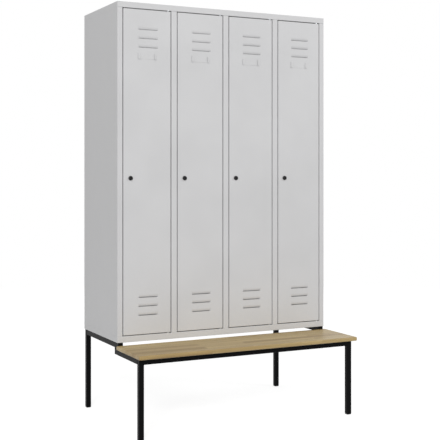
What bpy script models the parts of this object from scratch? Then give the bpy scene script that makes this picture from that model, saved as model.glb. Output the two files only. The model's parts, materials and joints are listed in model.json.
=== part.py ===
"""Clothes locker with a bench: four steel compartments on a tube frame that carries a seat in front.

X runs from the left side to the right side as seen from the front, Y from the front to the back and
Z up. The origin is on the floor under the middle of the whole piece. Every size is in metres.
"""

import math

import bmesh
import bpy
from mathutils import Vector

# The whole piece
DOORS = 4
CARCASS_WIDTH = 1.190
CARCASS_DEPTH = 0.500
CARCASS_HEIGHT = 1.672
BENCH_REACH = 0.307         # how far the seat stands out in front of the carcass
TOUCH = 0.0003              # gap between pieces that lie against each other
OVERRUN = 0.004             # how far a cutter runs past what it cuts
MERGE = 0.00001
ROUND_PROFILE = 0.5
FACING = 0.9                # least part of a unit normal along an axis for a face that looks that way

# Sheet steel of the carcass
SHEET = 0.001
FOLD_RADIUS = 0.002
FOLD_STEPS = 2
STILE_WIDTH = 0.027         # visible width of the carcass's outer posts
POST_WIDTH = 0.030          # visible width of the posts between doors
POST_DEPTH = 0.030
FASCIA_HEIGHT = 0.0290      # top strip above the doors
SILL_HEIGHT = 0.0305        # bottom strip under the doors
REAR_FLANGE = 0.015
BOTTOM_FLANGE = 0.032       # width of the rim under the bottom tray, which stands on the rails

# Doors
DOOR_GAP_LOCK = 0.004
DOOR_GAP_HINGE = 0.005
DOOR_GAP_TOP = 0.004
DOOR_GAP_BOTTOM = 0.004
DOOR_PROUD = 0.001          # how far the doors stand out of the carcass's front
DOOR_SHEET = 0.001
DOOR_THICKNESS = 0.018
DOOR_RETURN = 0.012         # inner rim of the folded door
PIVOT_INSET = 0.012         # hinge axis from the door's edge
PIVOT_DEPTH = 0.008         # hinge axis behind the door's face
LOUVRES = 3
LOUVRE_LENGTH = 0.105
LOUVRE_HEIGHT = 0.017
LOUVRE_DEPTH = 0.008
LOUVRE_TAPER = 0.007
LOUVRE_STEPS = 3
LOUVRE_PITCH = 0.044
LOUVRE_FROM_TOP = 0.1005    # highest slit below the door's top edge
LOUVRE_FROM_BOTTOM = 0.0925 # lowest slit above the door's bottom edge
LOUVRE_SHIFT = 0.005        # the louvres' middle to the right of the door's middle

# Door stiffener, a hat-shaped channel
STIFFENER_CROWN = 0.030
STIFFENER_DEPTH = 0.012
STIFFENER_SPREAD = 0.005
STIFFENER_FLANGE = 0.010
STIFFENER_END_GAP = 0.030   # from the nearest louvre

# Label holder, a strip with both ends curled forwards
LABEL_WIDTH = 0.098
LABEL_HEIGHT = 0.030
LABEL_SHEET = 0.0008
LABEL_CURL = 0.010
LABEL_RISE = 0.004
LABEL_FROM_TOP = 0.2300     # its middle below the door's top edge

# Cylinder lock
LOCK_STEPS = 20
LOCK_INSET = 0.0375         # lock axis from the door's lock-side edge
LOCK_HEIGHT = 0.771         # lock axis above the door's bottom edge
HEAD_RADIUS = 0.0105
HEAD_HEIGHT = 0.007
HEAD_CHAMFER = 0.0015
BARREL_RADIUS = 0.0080
BARREL_LENGTH = 0.0185
RING_NUT_RADIUS = 0.0120
RING_NUT_HEIGHT = 0.004
CYLINDER_RADIUS = 0.0055
CYLINDER_RECESS = 0.0010
CYLINDER_RUN = 0.0003       # running gap round the lock cylinder
KEY_SLOT = (0.0014, 0.0070, 0.0040)
CAM_SETBACK = 0.0205        # cam's near face behind the door's face
CAM_THICKNESS = 0.002
CAM_WIDTH = 0.014
CAM_TIP_WIDTH = 0.007
CAM_CATCH = 0.006           # how far the turned cam reaches behind the post's wall
CAM_STEPS = 8
STUD_RADIUS = 0.003
CAM_NUT_RADIUS = 0.0050
CAM_NUT_HEIGHT = 0.003
STRIKE_PLAY = 0.0015        # room round the cam in the post's slot

# Hinge pins, and the tabs that stop the closed doors
PIN_RADIUS = 0.003
PIN_PLAY = 0.0003
PIN_STEPS = 16
PIN_COLLAR_RADIUS = 0.005
PIN_REACH = 0.007           # how far a pin stands into the door
TAB_WIDTH = 0.030
TAB_HEIGHT = 0.010
TAB_SHEET = 0.0015
TAB_INSET = 0.040           # tab's middle from the opening's lock side

# Inside a compartment
SHELF_DROP = 0.300          # shelf's top below the carcass's top
SHELF_RIM = 0.020
SHELF_SETBACK = 0.034       # shelf's front edge behind the carcass's front
RAIL_DROP = 0.055           # coat rail's axis below the shelf's top
RAIL_RADIUS = 0.0095
RAIL_BORE = 0.0080
RAIL_PLATE_RADIUS = 0.019
RAIL_PLATE = 0.003
RAIL_STEPS = 16

# Tube frame
LEG_WIDTH = 0.025
FRAME_INSET = 0.005         # frame's outside inside the carcass's sides
RAIL_HEIGHT = 0.028
RAIL_WIDTH = 0.025
RAIL_LAP = 0.052            # how far the low side rail runs on under the high one
TUBE_WALL = 0.0015
TUBE_RADIUS = 0.002
FOOT_PAD = 0.005            # height of the plastic pad under a leg
FOOT_PLUG = 0.018           # how far its plug stands into the tube
FOOT_RADIUS = 0.004

# Seat board
SEAT_HEIGHT = 0.405
CARCASS_RISE = 0.013        # underside of the carcass above the seat
BOARD_SIDE_OVERHANG = 0.008 # how far the board stands out past the carcass's sides
BOARD_THICKNESS = 0.020
BOARD_BACK_GAP = 0.004      # board's back edge in front of the carcass
BOARD_OVERHANG = 0.035      # board's front edge in front of the legs
BOARD_EDGE_RADIUS = 0.006
BOARD_EDGE_STEPS = 4
BOARD_RAIL_INSET = 0.025    # low rear rail in front of the board's back edge

# Screws and bolts
SCREW_RADIUS = 0.002
SCREW_HEAD_RADIUS = 0.0045
SCREW_HEAD = 0.0025
SCREW_BITE = 0.012          # length inside the board
SCREWS_IN_ROW = 2
SCREW_SPREAD = 0.840
BOLT_RADIUS = 0.003
BOLT_HEAD_RADIUS = 0.006
BOLT_HEAD = 0.004
BOLT_NUT_RADIUS = 0.006
BOLT_NUT = 0.005
BOLT_SPARE = 0.003          # thread past the nut
BOLT_STEPS = 12

# Finishes
PAINT_GREY = (0.62, 0.62, 0.63, 1.0)
STEEL_BLACK = (0.012, 0.012, 0.013, 1.0)
PLASTIC_BLACK = (0.010, 0.010, 0.010, 1.0)
BEECH = (0.42, 0.28, 0.14, 1.0)
ZINC = (0.55, 0.56, 0.58, 1.0)

# Places that follow from the sizes
LEFT = -CARCASS_WIDTH / 2
FRONT = (BENCH_REACH - CARCASS_DEPTH) / 2
BACK = FRONT + CARCASS_DEPTH
CARCASS_BASE = SEAT_HEIGHT + CARCASS_RISE
TOP = CARCASS_BASE + CARCASS_HEIGHT
SILL = CARCASS_BASE + SILL_HEIGHT
LINTEL = TOP - FASCIA_HEIGHT
OPENING_WIDTH = (CARCASS_WIDTH - 2 * STILE_WIDTH - (DOORS - 1) * POST_WIDTH) / DOORS
DOOR_WIDTH = OPENING_WIDTH - DOOR_GAP_LOCK - DOOR_GAP_HINGE
DOOR_BOTTOM = SILL + DOOR_GAP_BOTTOM
DOOR_HEIGHT = LINTEL - DOOR_GAP_TOP - DOOR_BOTTOM
FRAME_HALF = CARCASS_WIDTH / 2 - FRAME_INSET
BOARD_WIDTH = CARCASS_WIDTH + 2 * BOARD_SIDE_OVERHANG
BOARD_UNDERSIDE = SEAT_HEIGHT - BOARD_THICKNESS
BENCH_FRONT = FRONT - BENCH_REACH
LEG_FRONT = BENCH_FRONT + BOARD_OVERHANG
PANEL_BACK = BACK - SHEET - TOUCH           # rear face of the back panel
PANEL_FRONT = PANEL_BACK - SHEET
UP = Vector((0, 0, 1))


def opening_left(door):
    """X of the left side of a door's opening."""
    return LEFT + STILE_WIDTH + door * (OPENING_WIDTH + POST_WIDTH)


def post_middle(post):
    """X of the middle of the post to the right of the door with the same number."""
    return opening_left(post) + OPENING_WIDTH + POST_WIDTH / 2


def new_collection(name):
    collection = bpy.data.collections.new(name)
    bpy.context.scene.collection.children.link(collection)
    return collection


def new_material(name, colour, roughness, metallic):
    material = bpy.data.materials.new(name)
    material.use_nodes = True
    shader = material.node_tree.nodes["Principled BSDF"]
    shader.inputs["Base Color"].default_value = colour
    shader.inputs["Roughness"].default_value = roughness
    shader.inputs["Metallic"].default_value = metallic
    return material


def place(name, shape, material, location, parent=None, rotation=(0, 0, 0)):
    """Turn a finished bmesh into a named part of the locker."""
    mesh = bpy.data.meshes.new(name)
    shape.to_mesh(mesh)
    shape.free()
    mesh.materials.append(material)
    part = bpy.data.objects.new(name, mesh)
    part.location = location
    part.rotation_euler = rotation
    part.parent = parent
    PARTS.objects.link(part)
    return part


def place_axis(name, location, parent=None):
    """An empty on a hinge or lock axis, which carries the pieces that turn there."""
    axis = bpy.data.objects.new(name, None)
    axis.location = location
    axis.parent = parent
    PARTS.objects.link(axis)
    return axis


def place_cutter(name, shape, location=(0, 0, 0), parent=None, rotation=(0, 0, 0)):
    mesh = bpy.data.meshes.new(name)
    shape.to_mesh(mesh)
    shape.free()
    cutter = bpy.data.objects.new(name, mesh)
    cutter.location = location
    cutter.rotation_euler = rotation
    cutter.parent = parent
    cutter.hide_render = True
    cutter.display_type = "WIRE"
    CUTTERS.objects.link(cutter)
    return cutter


def join(part, piece):
    modifier = part.modifiers.new("join_" + piece.name, "BOOLEAN")
    modifier.operation = "UNION"
    modifier.object = piece


def cut(part, cutter):
    modifier = part.modifiers.new("cut_" + cutter.name, "BOOLEAN")
    modifier.operation = "DIFFERENCE"
    modifier.object = cutter


def thicken(part, thickness):
    """Give an open surface its sheet thickness, behind the side that its faces look to."""
    modifier = part.modifiers.new("sheet", "SOLIDIFY")
    modifier.thickness = thickness
    modifier.offset = -1
    modifier.use_even_offset = True


def turn_profile(part, steps):
    """Turn a part's profile about its own Z axis."""
    modifier = part.modifiers.new("turned", "SCREW")
    modifier.steps = steps
    modifier.render_steps = steps
    modifier.use_merge_vertices = True
    modifier.merge_threshold = MERGE
    modifier.use_smooth_shade = True


def box_shape(size, middle=(0, 0, 0)):
    shape = bmesh.new()
    bmesh.ops.create_cube(shape, size=1)
    bmesh.ops.scale(shape, vec=size, verts=shape.verts)
    bmesh.ops.translate(shape, vec=middle, verts=shape.verts)
    return shape


def round_edges(shape, edges, radius, steps):
    bmesh.ops.bevel(shape, geom=list(edges), offset=radius, offset_type="OFFSET", segments=steps,
                    profile=ROUND_PROFILE, affect="EDGES", clamp_overlap=True)


def along(edge, axis):
    """True for an edge that runs along one of the axes."""
    run = (edge.verts[1].co - edge.verts[0].co).normalized()
    return abs(run[axis]) > FACING


def looks(face, axis, sign):
    return face.normal[axis] * sign > FACING


def profile_shape(points, closed):
    """A profile for turning: a chain of (radius, height) points, joined end to end if it is closed."""
    shape = bmesh.new()
    corners = [shape.verts.new((radius, 0, height)) for radius, height in points]
    pairs = list(zip(corners, corners[1:]))
    if closed:
        pairs.append((corners[-1], corners[0]))
    for pair in pairs:
        shape.edges.new(pair)
    return shape


def folded_shape(outline, length, radius):
    """A sheet folded along an outline in X and Y and run up along Z.

    The outside is to the left of the way that the outline goes.
    """
    shape = bmesh.new()
    corners = [shape.verts.new((x, y, 0)) for x, y in outline]
    edges = [shape.edges.new(pair) for pair in zip(corners, corners[1:])]
    grown = bmesh.ops.extrude_edge_only(shape, edges=edges)["geom"]
    raised = [item for item in grown if isinstance(item, bmesh.types.BMVert)]
    bmesh.ops.translate(shape, vec=(0, 0, length), verts=raised)
    shape.normal_update()
    first = Vector(outline[1] + (0,)) - Vector(outline[0] + (0,))
    outside = UP.cross(first)
    middle = (Vector(outline[1] + (length,)) + Vector(outline[0] + (0,))) / 2
    nearest = min(shape.faces, key=lambda face: (face.calc_center_median() - middle).length)
    if nearest.normal.dot(outside) < 0:
        bmesh.ops.reverse_faces(shape, faces=shape.faces)
    folds = [edge for edge in shape.edges if len(edge.link_faces) == 2 and along(edge, 2)]
    round_edges(shape, folds, radius, FOLD_STEPS)
    return shape


def plate_shape(outline, width):
    """A flat plate with an outline in Y and Z, and its width along X."""
    shape = bmesh.new()
    corners = [shape.verts.new((-width / 2, y, z)) for y, z in outline]
    plate = shape.faces.new(corners)
    grown = bmesh.ops.extrude_face_region(shape, geom=[plate])["geom"]
    moved = [item for item in grown if isinstance(item, bmesh.types.BMVert)]
    bmesh.ops.translate(shape, vec=(width, 0, 0), verts=moved)
    bmesh.ops.recalc_face_normals(shape, faces=shape.faces)
    return shape


def place_tube(name, size, axis, middle):
    """A rectangular steel tube with rounded corners, open at both ends."""
    shape = box_shape(size)
    ends = [face for face in shape.faces if abs(face.normal[axis]) > FACING]
    corners = [edge for edge in shape.edges if along(edge, axis)]
    bmesh.ops.delete(shape, geom=ends, context="FACES_ONLY")
    round_edges(shape, corners, TUBE_RADIUS, FOLD_STEPS)
    tube = place(name, shape, BLACK_STEEL, middle)
    thicken(tube, TUBE_WALL)
    return tube


# Frame

def rail_outline(leg, end, foot, top, wall):
    """Outline in Y and Z of a leg with a rail welded to its top.

    leg and end are the Y of the leg's outside and of the rail's other end, and wall is how far the
    outline lies inside the tubes.
    """
    inward = 1 if end > leg else -1
    under = top - RAIL_HEIGHT + wall
    outside = leg + inward * wall
    inside = leg + inward * (LEG_WIDTH - wall)
    return [(outside, foot), (outside, top - wall), (end - inward * wall, top - wall),
            (end - inward * wall, under), (inside, under), (inside, foot)]


def make_side_frames():
    """Each side is one welded piece: front leg, low rail, high rail lapped over it, and rear leg."""
    foot = FOOT_PAD + TOUCH
    seat = BOARD_UNDERSIDE - TOUCH
    deck = CARCASS_BASE - TOUCH
    lap_end = FRONT + RAIL_LAP
    front_half = rail_outline(LEG_FRONT, lap_end, foot, seat, 0)
    rear_half = rail_outline(BACK, FRONT, foot, deck, 0)
    outline = front_half[:2] + [(FRONT, seat), (FRONT, deck), (BACK, deck), (BACK, foot)]
    outline += [rear_half[-1], rear_half[-2], (lap_end, deck - RAIL_HEIGHT)] + front_half[3:]
    below = foot - OVERRUN
    front_bore = rail_outline(LEG_FRONT, lap_end, below, seat, TUBE_WALL)
    rear_bore = rail_outline(BACK, FRONT, below, deck, TUBE_WALL)
    bore_width = LEG_WIDTH - 2 * TUBE_WALL
    for name, side in (("side_frame_left", -1), ("side_frame_right", 1)):
        shape = plate_shape(outline, LEG_WIDTH)
        rims = [edge for edge in shape.edges if not along(edge, 0)]
        round_edges(shape, rims, TUBE_RADIUS, FOLD_STEPS)
        middle = (side * (FRAME_HALF - LEG_WIDTH / 2), 0, 0)
        frame = place(name, shape, BLACK_STEEL, middle)
        cut(frame, place_cutter("front_bore_" + name, plate_shape(front_bore, bore_width), middle))
        cut(frame, place_cutter("rear_bore_" + name, plate_shape(rear_bore, bore_width), middle))
        cut(frame, bolt_holes("bolt_holes_" + name))


def make_foot_caps():
    """Plastic feet under the four legs, each with a plug that stands in the tube."""
    across = FRAME_HALF - LEG_WIDTH / 2
    plug_width = LEG_WIDTH - 2 * (TUBE_WALL + TOUCH)
    plug_height = FOOT_PAD / 2 + FOOT_PLUG
    for end_name, y in (("front", LEG_FRONT + LEG_WIDTH / 2), ("rear", BACK - LEG_WIDTH / 2)):
        for side_name, side in (("left", -1), ("right", 1)):
            shape = box_shape((LEG_WIDTH, LEG_WIDTH, FOOT_PAD))
            rounded = [edge for edge in shape.edges
                       if along(edge, 2) or all(vert.co.z < 0 for vert in edge.verts)]
            round_edges(shape, rounded, FOOT_RADIUS, FOLD_STEPS)
            name = "foot_cap_" + end_name + "_" + side_name
            middle = (side * across, y, FOOT_PAD / 2)
            cap = place(name, shape, BLACK_PLASTIC, middle)
            plug = box_shape((plug_width, plug_width, plug_height), (0, 0, plug_height / 2))
            join(cap, place_cutter("plug_" + name, plug, middle))


def rail_middle(top):
    return top - RAIL_HEIGHT / 2


def make_cross_rails():
    """Rails that run across: one under the carcass's back edge, two under the seat."""
    high_length = 2 * (FRAME_HALF - LEG_WIDTH - TOUCH)
    middle = (0, BACK - RAIL_WIDTH / 2, rail_middle(CARCASS_BASE - TOUCH))
    place_tube("locker_rail_rear", (high_length, RAIL_WIDTH, RAIL_HEIGHT), 0, middle)
    low_length = 2 * (FRAME_HALF - RAIL_WIDTH - TOUCH)
    for name, y in (("bench_rail_front", seat_screw_front()), ("bench_rail_rear", seat_screw_rear())):
        middle = (0, y, rail_middle(BOARD_UNDERSIDE - TOUCH))
        rail = place_tube(name, (low_length, RAIL_WIDTH, RAIL_HEIGHT), 0, middle)
        cut(rail, screw_holes("screw_holes_" + name))


# Seat

def seat_screw_front():
    return LEG_FRONT + RAIL_WIDTH / 2


def seat_screw_rear():
    return FRONT - BOARD_BACK_GAP - BOARD_RAIL_INSET - RAIL_WIDTH / 2


def row_of_rods(radius, low, high, places, steps):
    """Upright rods at a list of (x, y) places, as one cutter shape."""
    shape = bmesh.new()
    for x, y in places:
        rod = bmesh.ops.create_cone(shape, cap_ends=True, segments=steps, radius1=radius,
                                    radius2=radius, depth=high - low)
        bmesh.ops.translate(shape, vec=(x, y, (low + high) / 2), verts=rod["verts"])
    return shape


def screw_places():
    rows = (seat_screw_front(), seat_screw_rear())
    first = -SCREW_SPREAD * (SCREWS_IN_ROW - 1) / 2
    return [(first + number * SCREW_SPREAD, y) for y in rows for number in range(SCREWS_IN_ROW)]


def screw_holes(name):
    low = BOARD_UNDERSIDE - RAIL_HEIGHT - OVERRUN
    high = BOARD_UNDERSIDE + SCREW_BITE + TOUCH
    shape = row_of_rods(SCREW_RADIUS + TOUCH, low, high, screw_places(), BOLT_STEPS)
    return place_cutter(name, shape)


def make_board():
    depth = BENCH_REACH - BOARD_BACK_GAP
    shape = box_shape((BOARD_WIDTH, depth, BOARD_THICKNESS))
    upright = [edge for edge in shape.edges if along(edge, 2)]
    round_edges(shape, upright, BOARD_EDGE_RADIUS, FOLD_STEPS)
    rims = [edge for edge in shape.edges
            if any(abs(face.normal.z) > FACING for face in edge.link_faces)]
    round_edges(shape, rims, BOARD_EDGE_RADIUS, BOARD_EDGE_STEPS)
    middle = (0, BENCH_FRONT + depth / 2, BOARD_UNDERSIDE + BOARD_THICKNESS / 2)
    board = place("bench_board", shape, WOOD, middle)
    cut(board, screw_holes("screw_holes_board"))


def make_screws():
    """Screws that come up through the low cross rails into the board."""
    head_top = BOARD_UNDERSIDE - RAIL_HEIGHT - 2 * TOUCH
    tip = BOARD_UNDERSIDE + SCREW_BITE - head_top
    chain = [(0, tip), (SCREW_RADIUS, tip), (SCREW_RADIUS, 0), (SCREW_HEAD_RADIUS, 0),
             (SCREW_HEAD_RADIUS, -SCREW_HEAD), (0, -SCREW_HEAD)]
    for number, (x, y) in enumerate(screw_places()):
        name = "seat_screw_" + str(number + 1)
        screw = place(name, profile_shape(chain, False), BRIGHT_ZINC, (x, y, head_top))
        turn_profile(screw, BOLT_STEPS)


# Bolts between the frame and the carcass

def bolt_places():
    across = FRAME_HALF - RAIL_WIDTH / 2
    return [(side * across, FRONT + CARCASS_DEPTH / 2) for side in (-1, 1)]


def bolt_holes(name):
    low = CARCASS_BASE - RAIL_HEIGHT - OVERRUN
    high = CARCASS_BASE + SHEET + OVERRUN
    shape = row_of_rods(BOLT_RADIUS + TOUCH, low, high, bolt_places(), BOLT_STEPS)
    return place_cutter(name, shape)


def make_bolts():
    """A bolt up through each high rail into the bottom tray's rim, with its nut screwed home."""
    head_top = CARCASS_BASE - RAIL_HEIGHT - 2 * TOUCH
    nut_low = CARCASS_BASE + SHEET + TOUCH - head_top
    nut_high = nut_low + BOLT_NUT
    tip = nut_high + BOLT_SPARE
    chain = [(0, tip), (BOLT_RADIUS, tip), (BOLT_RADIUS, nut_high), (BOLT_NUT_RADIUS, nut_high),
             (BOLT_NUT_RADIUS, nut_low), (BOLT_RADIUS, nut_low), (BOLT_RADIUS, 0),
             (BOLT_HEAD_RADIUS, 0), (BOLT_HEAD_RADIUS, -BOLT_HEAD), (0, -BOLT_HEAD)]
    for side_name, (x, y) in zip(("left", "right"), bolt_places()):
        bolt = place("locker_bolt_" + side_name, profile_shape(chain, False), BRIGHT_ZINC,
                     (x, y, head_top))
        turn_profile(bolt, BOLT_STEPS)


# Carcass

def strike_slot(door):
    """Cutter for the slot in the post beside a door, which the lock cam swings up into."""
    to_wall = LOCK_INSET + DOOR_GAP_LOCK
    swing = math.hypot(to_wall + CAM_CATCH, CAM_TIP_WIDTH / 2)
    low = -math.sqrt(swing ** 2 - to_wall ** 2) - STRIKE_PLAY
    high = CAM_WIDTH / 2 + STRIKE_PLAY
    size = (2 * (SHEET + OVERRUN), CAM_THICKNESS + 2 * STRIKE_PLAY, high - low)
    middle = (opening_left(door), FRONT - DOOR_PROUD + CAM_SETBACK + CAM_THICKNESS / 2,
              DOOR_BOTTOM + LOCK_HEIGHT + (high + low) / 2)
    return place_cutter("strike_slot_" + str(door + 1), box_shape(size), middle)


def side_outline(side):
    """Outline of a side panel: door-side wall, stile, side, rear flange, outside on the left."""
    points = [(STILE_WIDTH, POST_DEPTH), (STILE_WIDTH, 0), (0, 0), (0, CARCASS_DEPTH),
              (REAR_FLANGE, CARCASS_DEPTH)]
    if side > 0:
        points = [(-x, y) for x, y in reversed(points)]
    return points


def make_side_panels():
    low = SILL + TOUCH
    high = LINTEL - TOUCH
    for name, side in (("side_panel_left", -1), ("side_panel_right", 1)):
        shape = folded_shape(side_outline(side), high - low, FOLD_RADIUS)
        panel = place(name, shape, GREY_PAINT, (side * CARCASS_WIDTH / 2, FRONT, low))
        thicken(panel, SHEET)
        if side < 0:
            cut(panel, strike_slot(0))


def make_back_panel():
    width = CARCASS_WIDTH - 2 * (FOLD_RADIUS + TOUCH)
    low = SILL + TOUCH
    high = TOP - FOLD_RADIUS - TOUCH
    shape = box_shape((width, SHEET, high - low))
    middle = (0, PANEL_BACK - SHEET / 2, (low + high) / 2)
    place("back_panel", shape, GREY_PAINT, middle)


def make_top_panel():
    """A tray upside down: its front edge is the fascia above the doors, with a rim turned inwards."""
    shape = box_shape((CARCASS_WIDTH, CARCASS_DEPTH, FASCIA_HEIGHT))
    shape.normal_update()
    floor = [face for face in shape.faces if looks(face, 2, -1)]
    cut_line = POST_DEPTH - CARCASS_DEPTH / 2
    around = floor + list(floor[0].edges) + list(floor[0].verts)
    bmesh.ops.bisect_plane(shape, geom=around, dist=MERGE, plane_co=(0, cut_line, 0), plane_no=(0, 1, 0))
    shape.normal_update()
    open_part = [face for face in shape.faces
                 if looks(face, 2, -1) and face.calc_center_median().y > cut_line]
    bmesh.ops.delete(shape, geom=open_part, context="FACES")
    front_low = [edge for edge in shape.edges if along(edge, 0)
                 and all(vert.co.y < 0 and vert.co.z < 0 for vert in edge.verts)
                 and len(edge.link_faces) == 2]
    upright = [edge for edge in shape.edges if along(edge, 2)]
    rim = [edge for edge in shape.edges if not along(edge, 2)
           and all(vert.co.z > 0 for vert in edge.verts)]
    round_edges(shape, front_low + upright + rim, FOLD_RADIUS, FOLD_STEPS)
    panel = place("top_panel", shape, GREY_PAINT, (0, FRONT + CARCASS_DEPTH / 2, TOP - FASCIA_HEIGHT / 2))
    thicken(panel, SHEET)
    add_pins_and_tabs(panel, LINTEL, -1, DOOR_GAP_TOP)


def make_bottom_panel():
    """The floor of the compartments, folded down all round with a rim that stands on the rails."""
    shape = box_shape((CARCASS_WIDTH, CARCASS_DEPTH, SILL_HEIGHT))
    under = [face for face in shape.faces if looks(face, 2, -1)]
    bmesh.ops.inset_region(shape, faces=under, thickness=BOTTOM_FLANGE)
    bmesh.ops.delete(shape, geom=under, context="FACES")
    inner = CARCASS_WIDTH / 2 - BOTTOM_FLANGE / 2
    upright = [edge for edge in shape.edges if along(edge, 2)]
    rim = [edge for edge in shape.edges if len(edge.link_faces) == 2
           and all(vert.co.z < 0 for vert in edge.verts)
           and (along(edge, 0) or along(edge, 1))
           and all(abs(vert.co.x) > inner for vert in edge.verts)]
    front_top = [edge for edge in shape.edges if along(edge, 0)
                 and all(vert.co.y < 0 and vert.co.z > 0 for vert in edge.verts)]
    round_edges(shape, upright + rim + front_top, FOLD_RADIUS, FOLD_STEPS)
    middle = (0, FRONT + CARCASS_DEPTH / 2, CARCASS_BASE + SILL_HEIGHT / 2)
    panel = place("bottom_panel", shape, GREY_PAINT, middle)
    thicken(panel, SHEET)
    cut(panel, bolt_holes("bolt_holes_rim"))
    add_pins_and_tabs(panel, SILL, 1, DOOR_GAP_BOTTOM)


def make_posts_and_dividers():
    low = SILL + TOUCH
    high = LINTEL - TOUCH
    divider_front = FRONT + POST_DEPTH + TOUCH
    divider_back = PANEL_FRONT - TOUCH
    divider_high = TOP - SHEET - TOUCH
    for post in range(DOORS - 1):
        shape = box_shape((POST_WIDTH, POST_DEPTH, high - low))
        ends = [face for face in shape.faces if abs(face.normal[2]) > FACING]
        upright = [edge for edge in shape.edges if along(edge, 2)]
        bmesh.ops.delete(shape, geom=ends, context="FACES_ONLY")
        round_edges(shape, upright, FOLD_RADIUS, FOLD_STEPS)
        middle = (post_middle(post), FRONT + POST_DEPTH / 2, (low + high) / 2)
        door_post = place("door_post_" + str(post + 1), shape, GREY_PAINT, middle)
        thicken(door_post, SHEET)
        cut(door_post, strike_slot(post + 1))
        shape = box_shape((SHEET, divider_back - divider_front, divider_high - low))
        middle = (post_middle(post), (divider_front + divider_back) / 2, (low + divider_high) / 2)
        place("divider_" + str(post + 1), shape, GREY_PAINT, middle)


# Inside the compartments

def compartment_walls(door):
    """X of the two inner wall faces of a compartment, behind the posts."""
    left = LEFT + SHEET if door == 0 else post_middle(door - 1) + SHEET / 2
    right = -LEFT - SHEET if door == DOORS - 1 else post_middle(door) - SHEET / 2
    return left + TOUCH, right - TOUCH


def make_shelves():
    front = FRONT + SHELF_SETBACK
    back = PANEL_FRONT - TOUCH
    for door in range(DOORS):
        left, right = compartment_walls(door)
        shape = box_shape((right - left, back - front, SHELF_RIM))
        under = [face for face in shape.faces if looks(face, 2, -1)]
        bmesh.ops.delete(shape, geom=under, context="FACES_ONLY")
        front_top = [edge for edge in shape.edges if along(edge, 0)
                     and all(vert.co.y < 0 and vert.co.z > 0 for vert in edge.verts)]
        round_edges(shape, front_top, FOLD_RADIUS, FOLD_STEPS)
        middle = ((left + right) / 2, (front + back) / 2, TOP - SHELF_DROP - SHELF_RIM / 2)
        shelf = place("hat_shelf_" + str(door + 1), shape, GREY_PAINT, middle)
        thicken(shelf, SHEET)


def make_coat_rails():
    """A tube with a round wall plate on each end, in each compartment."""
    for door in range(DOORS):
        left, right = compartment_walls(door)
        half = (right - left) / 2
        neck = half - RAIL_PLATE
        chain = [(RAIL_BORE, half), (RAIL_PLATE_RADIUS, half), (RAIL_PLATE_RADIUS, neck),
                 (RAIL_RADIUS, neck), (RAIL_RADIUS, -neck), (RAIL_PLATE_RADIUS, -neck),
                 (RAIL_PLATE_RADIUS, -half), (RAIL_BORE, -half)]
        middle = ((left + right) / 2, FRONT + CARCASS_DEPTH / 2, TOP - SHELF_DROP - RAIL_DROP)
        rail = place("coat_rail_" + str(door + 1), profile_shape(chain, True), BRIGHT_ZINC, middle,
                     rotation=(0, math.pi / 2, 0))
        turn_profile(rail, RAIL_STEPS)


# Doors

def pivot_x(door):
    return opening_left(door) + OPENING_WIDTH - DOOR_GAP_HINGE - PIVOT_INSET


def pivot_y():
    return FRONT - DOOR_PROUD + PIVOT_DEPTH


def add_pins_and_tabs(panel, seat, up, gap):
    """Join each door's hinge pin and stop tab to the panel.

    seat is the height of the panel's face at the opening, up is 1 where the pins stand on it and -1
    where they hang from it, and gap is the door's gap there.
    """
    root = -SHEET / 2
    collar = gap - TOUCH
    tip = gap + DOOR_SHEET + PIN_REACH
    chain = [(0, tip), (PIN_RADIUS, tip), (PIN_RADIUS, collar), (PIN_COLLAR_RADIUS, collar),
             (PIN_COLLAR_RADIUS, root), (0, root)]
    if up < 0:
        chain = [(radius, -height) for radius, height in reversed(chain)]
    tab_y = FRONT - DOOR_PROUD + DOOR_THICKNESS + TOUCH + TAB_SHEET / 2
    tab_middle = seat + up * (TAB_HEIGHT + root) / 2
    for door in range(DOORS):
        name = panel.name + "_" + str(door + 1)
        pin = place_cutter("pin_" + name, profile_shape(chain, False), (pivot_x(door), pivot_y(), seat))
        turn_profile(pin, PIN_STEPS)
        join(panel, pin)
        tab = box_shape((TAB_WIDTH, TAB_SHEET, TAB_HEIGHT - root))
        spot = (opening_left(door) + TAB_INSET, tab_y, tab_middle)
        join(panel, place_cutter("tab_" + name, tab, spot))


def louvre_heights():
    """Heights of the slits above the door's bottom edge, from the bottom up."""
    low = [LOUVRE_FROM_BOTTOM + number * LOUVRE_PITCH for number in range(LOUVRES)]
    high = [DOOR_HEIGHT - LOUVRE_FROM_TOP - number * LOUVRE_PITCH for number in range(LOUVRES)]
    return low + sorted(high)


def press_louvre(shape, left, right, slit, face_y):
    """Press one louvre inwards: a curved hood that starts flush and ends in a slit at its lower edge."""
    rows = []
    for step in range(LOUVRE_STEPS + 1):
        turn = math.pi / 2 * step / LOUVRE_STEPS
        sunk = 1 - math.cos(turn)
        y = face_y + LOUVRE_DEPTH * sunk
        z = slit + LOUVRE_HEIGHT * (1 - math.sin(turn))
        taper = LOUVRE_TAPER * sunk
        rows.append((shape.verts.new((left + taper, y, z)), shape.verts.new((right - taper, y, z))))
    for upper, lower in zip(rows, rows[1:]):
        shape.faces.new((upper[0], lower[0], lower[1], upper[1]))
    for end, x in ((0, left), (1, right)):
        corner = shape.verts.new((x, face_y, slit))
        for upper, lower in zip(rows, rows[1:]):
            cheek = (corner, lower[end], upper[end]) if end == 0 else (corner, upper[end], lower[end])
            shape.faces.new(cheek)


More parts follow.
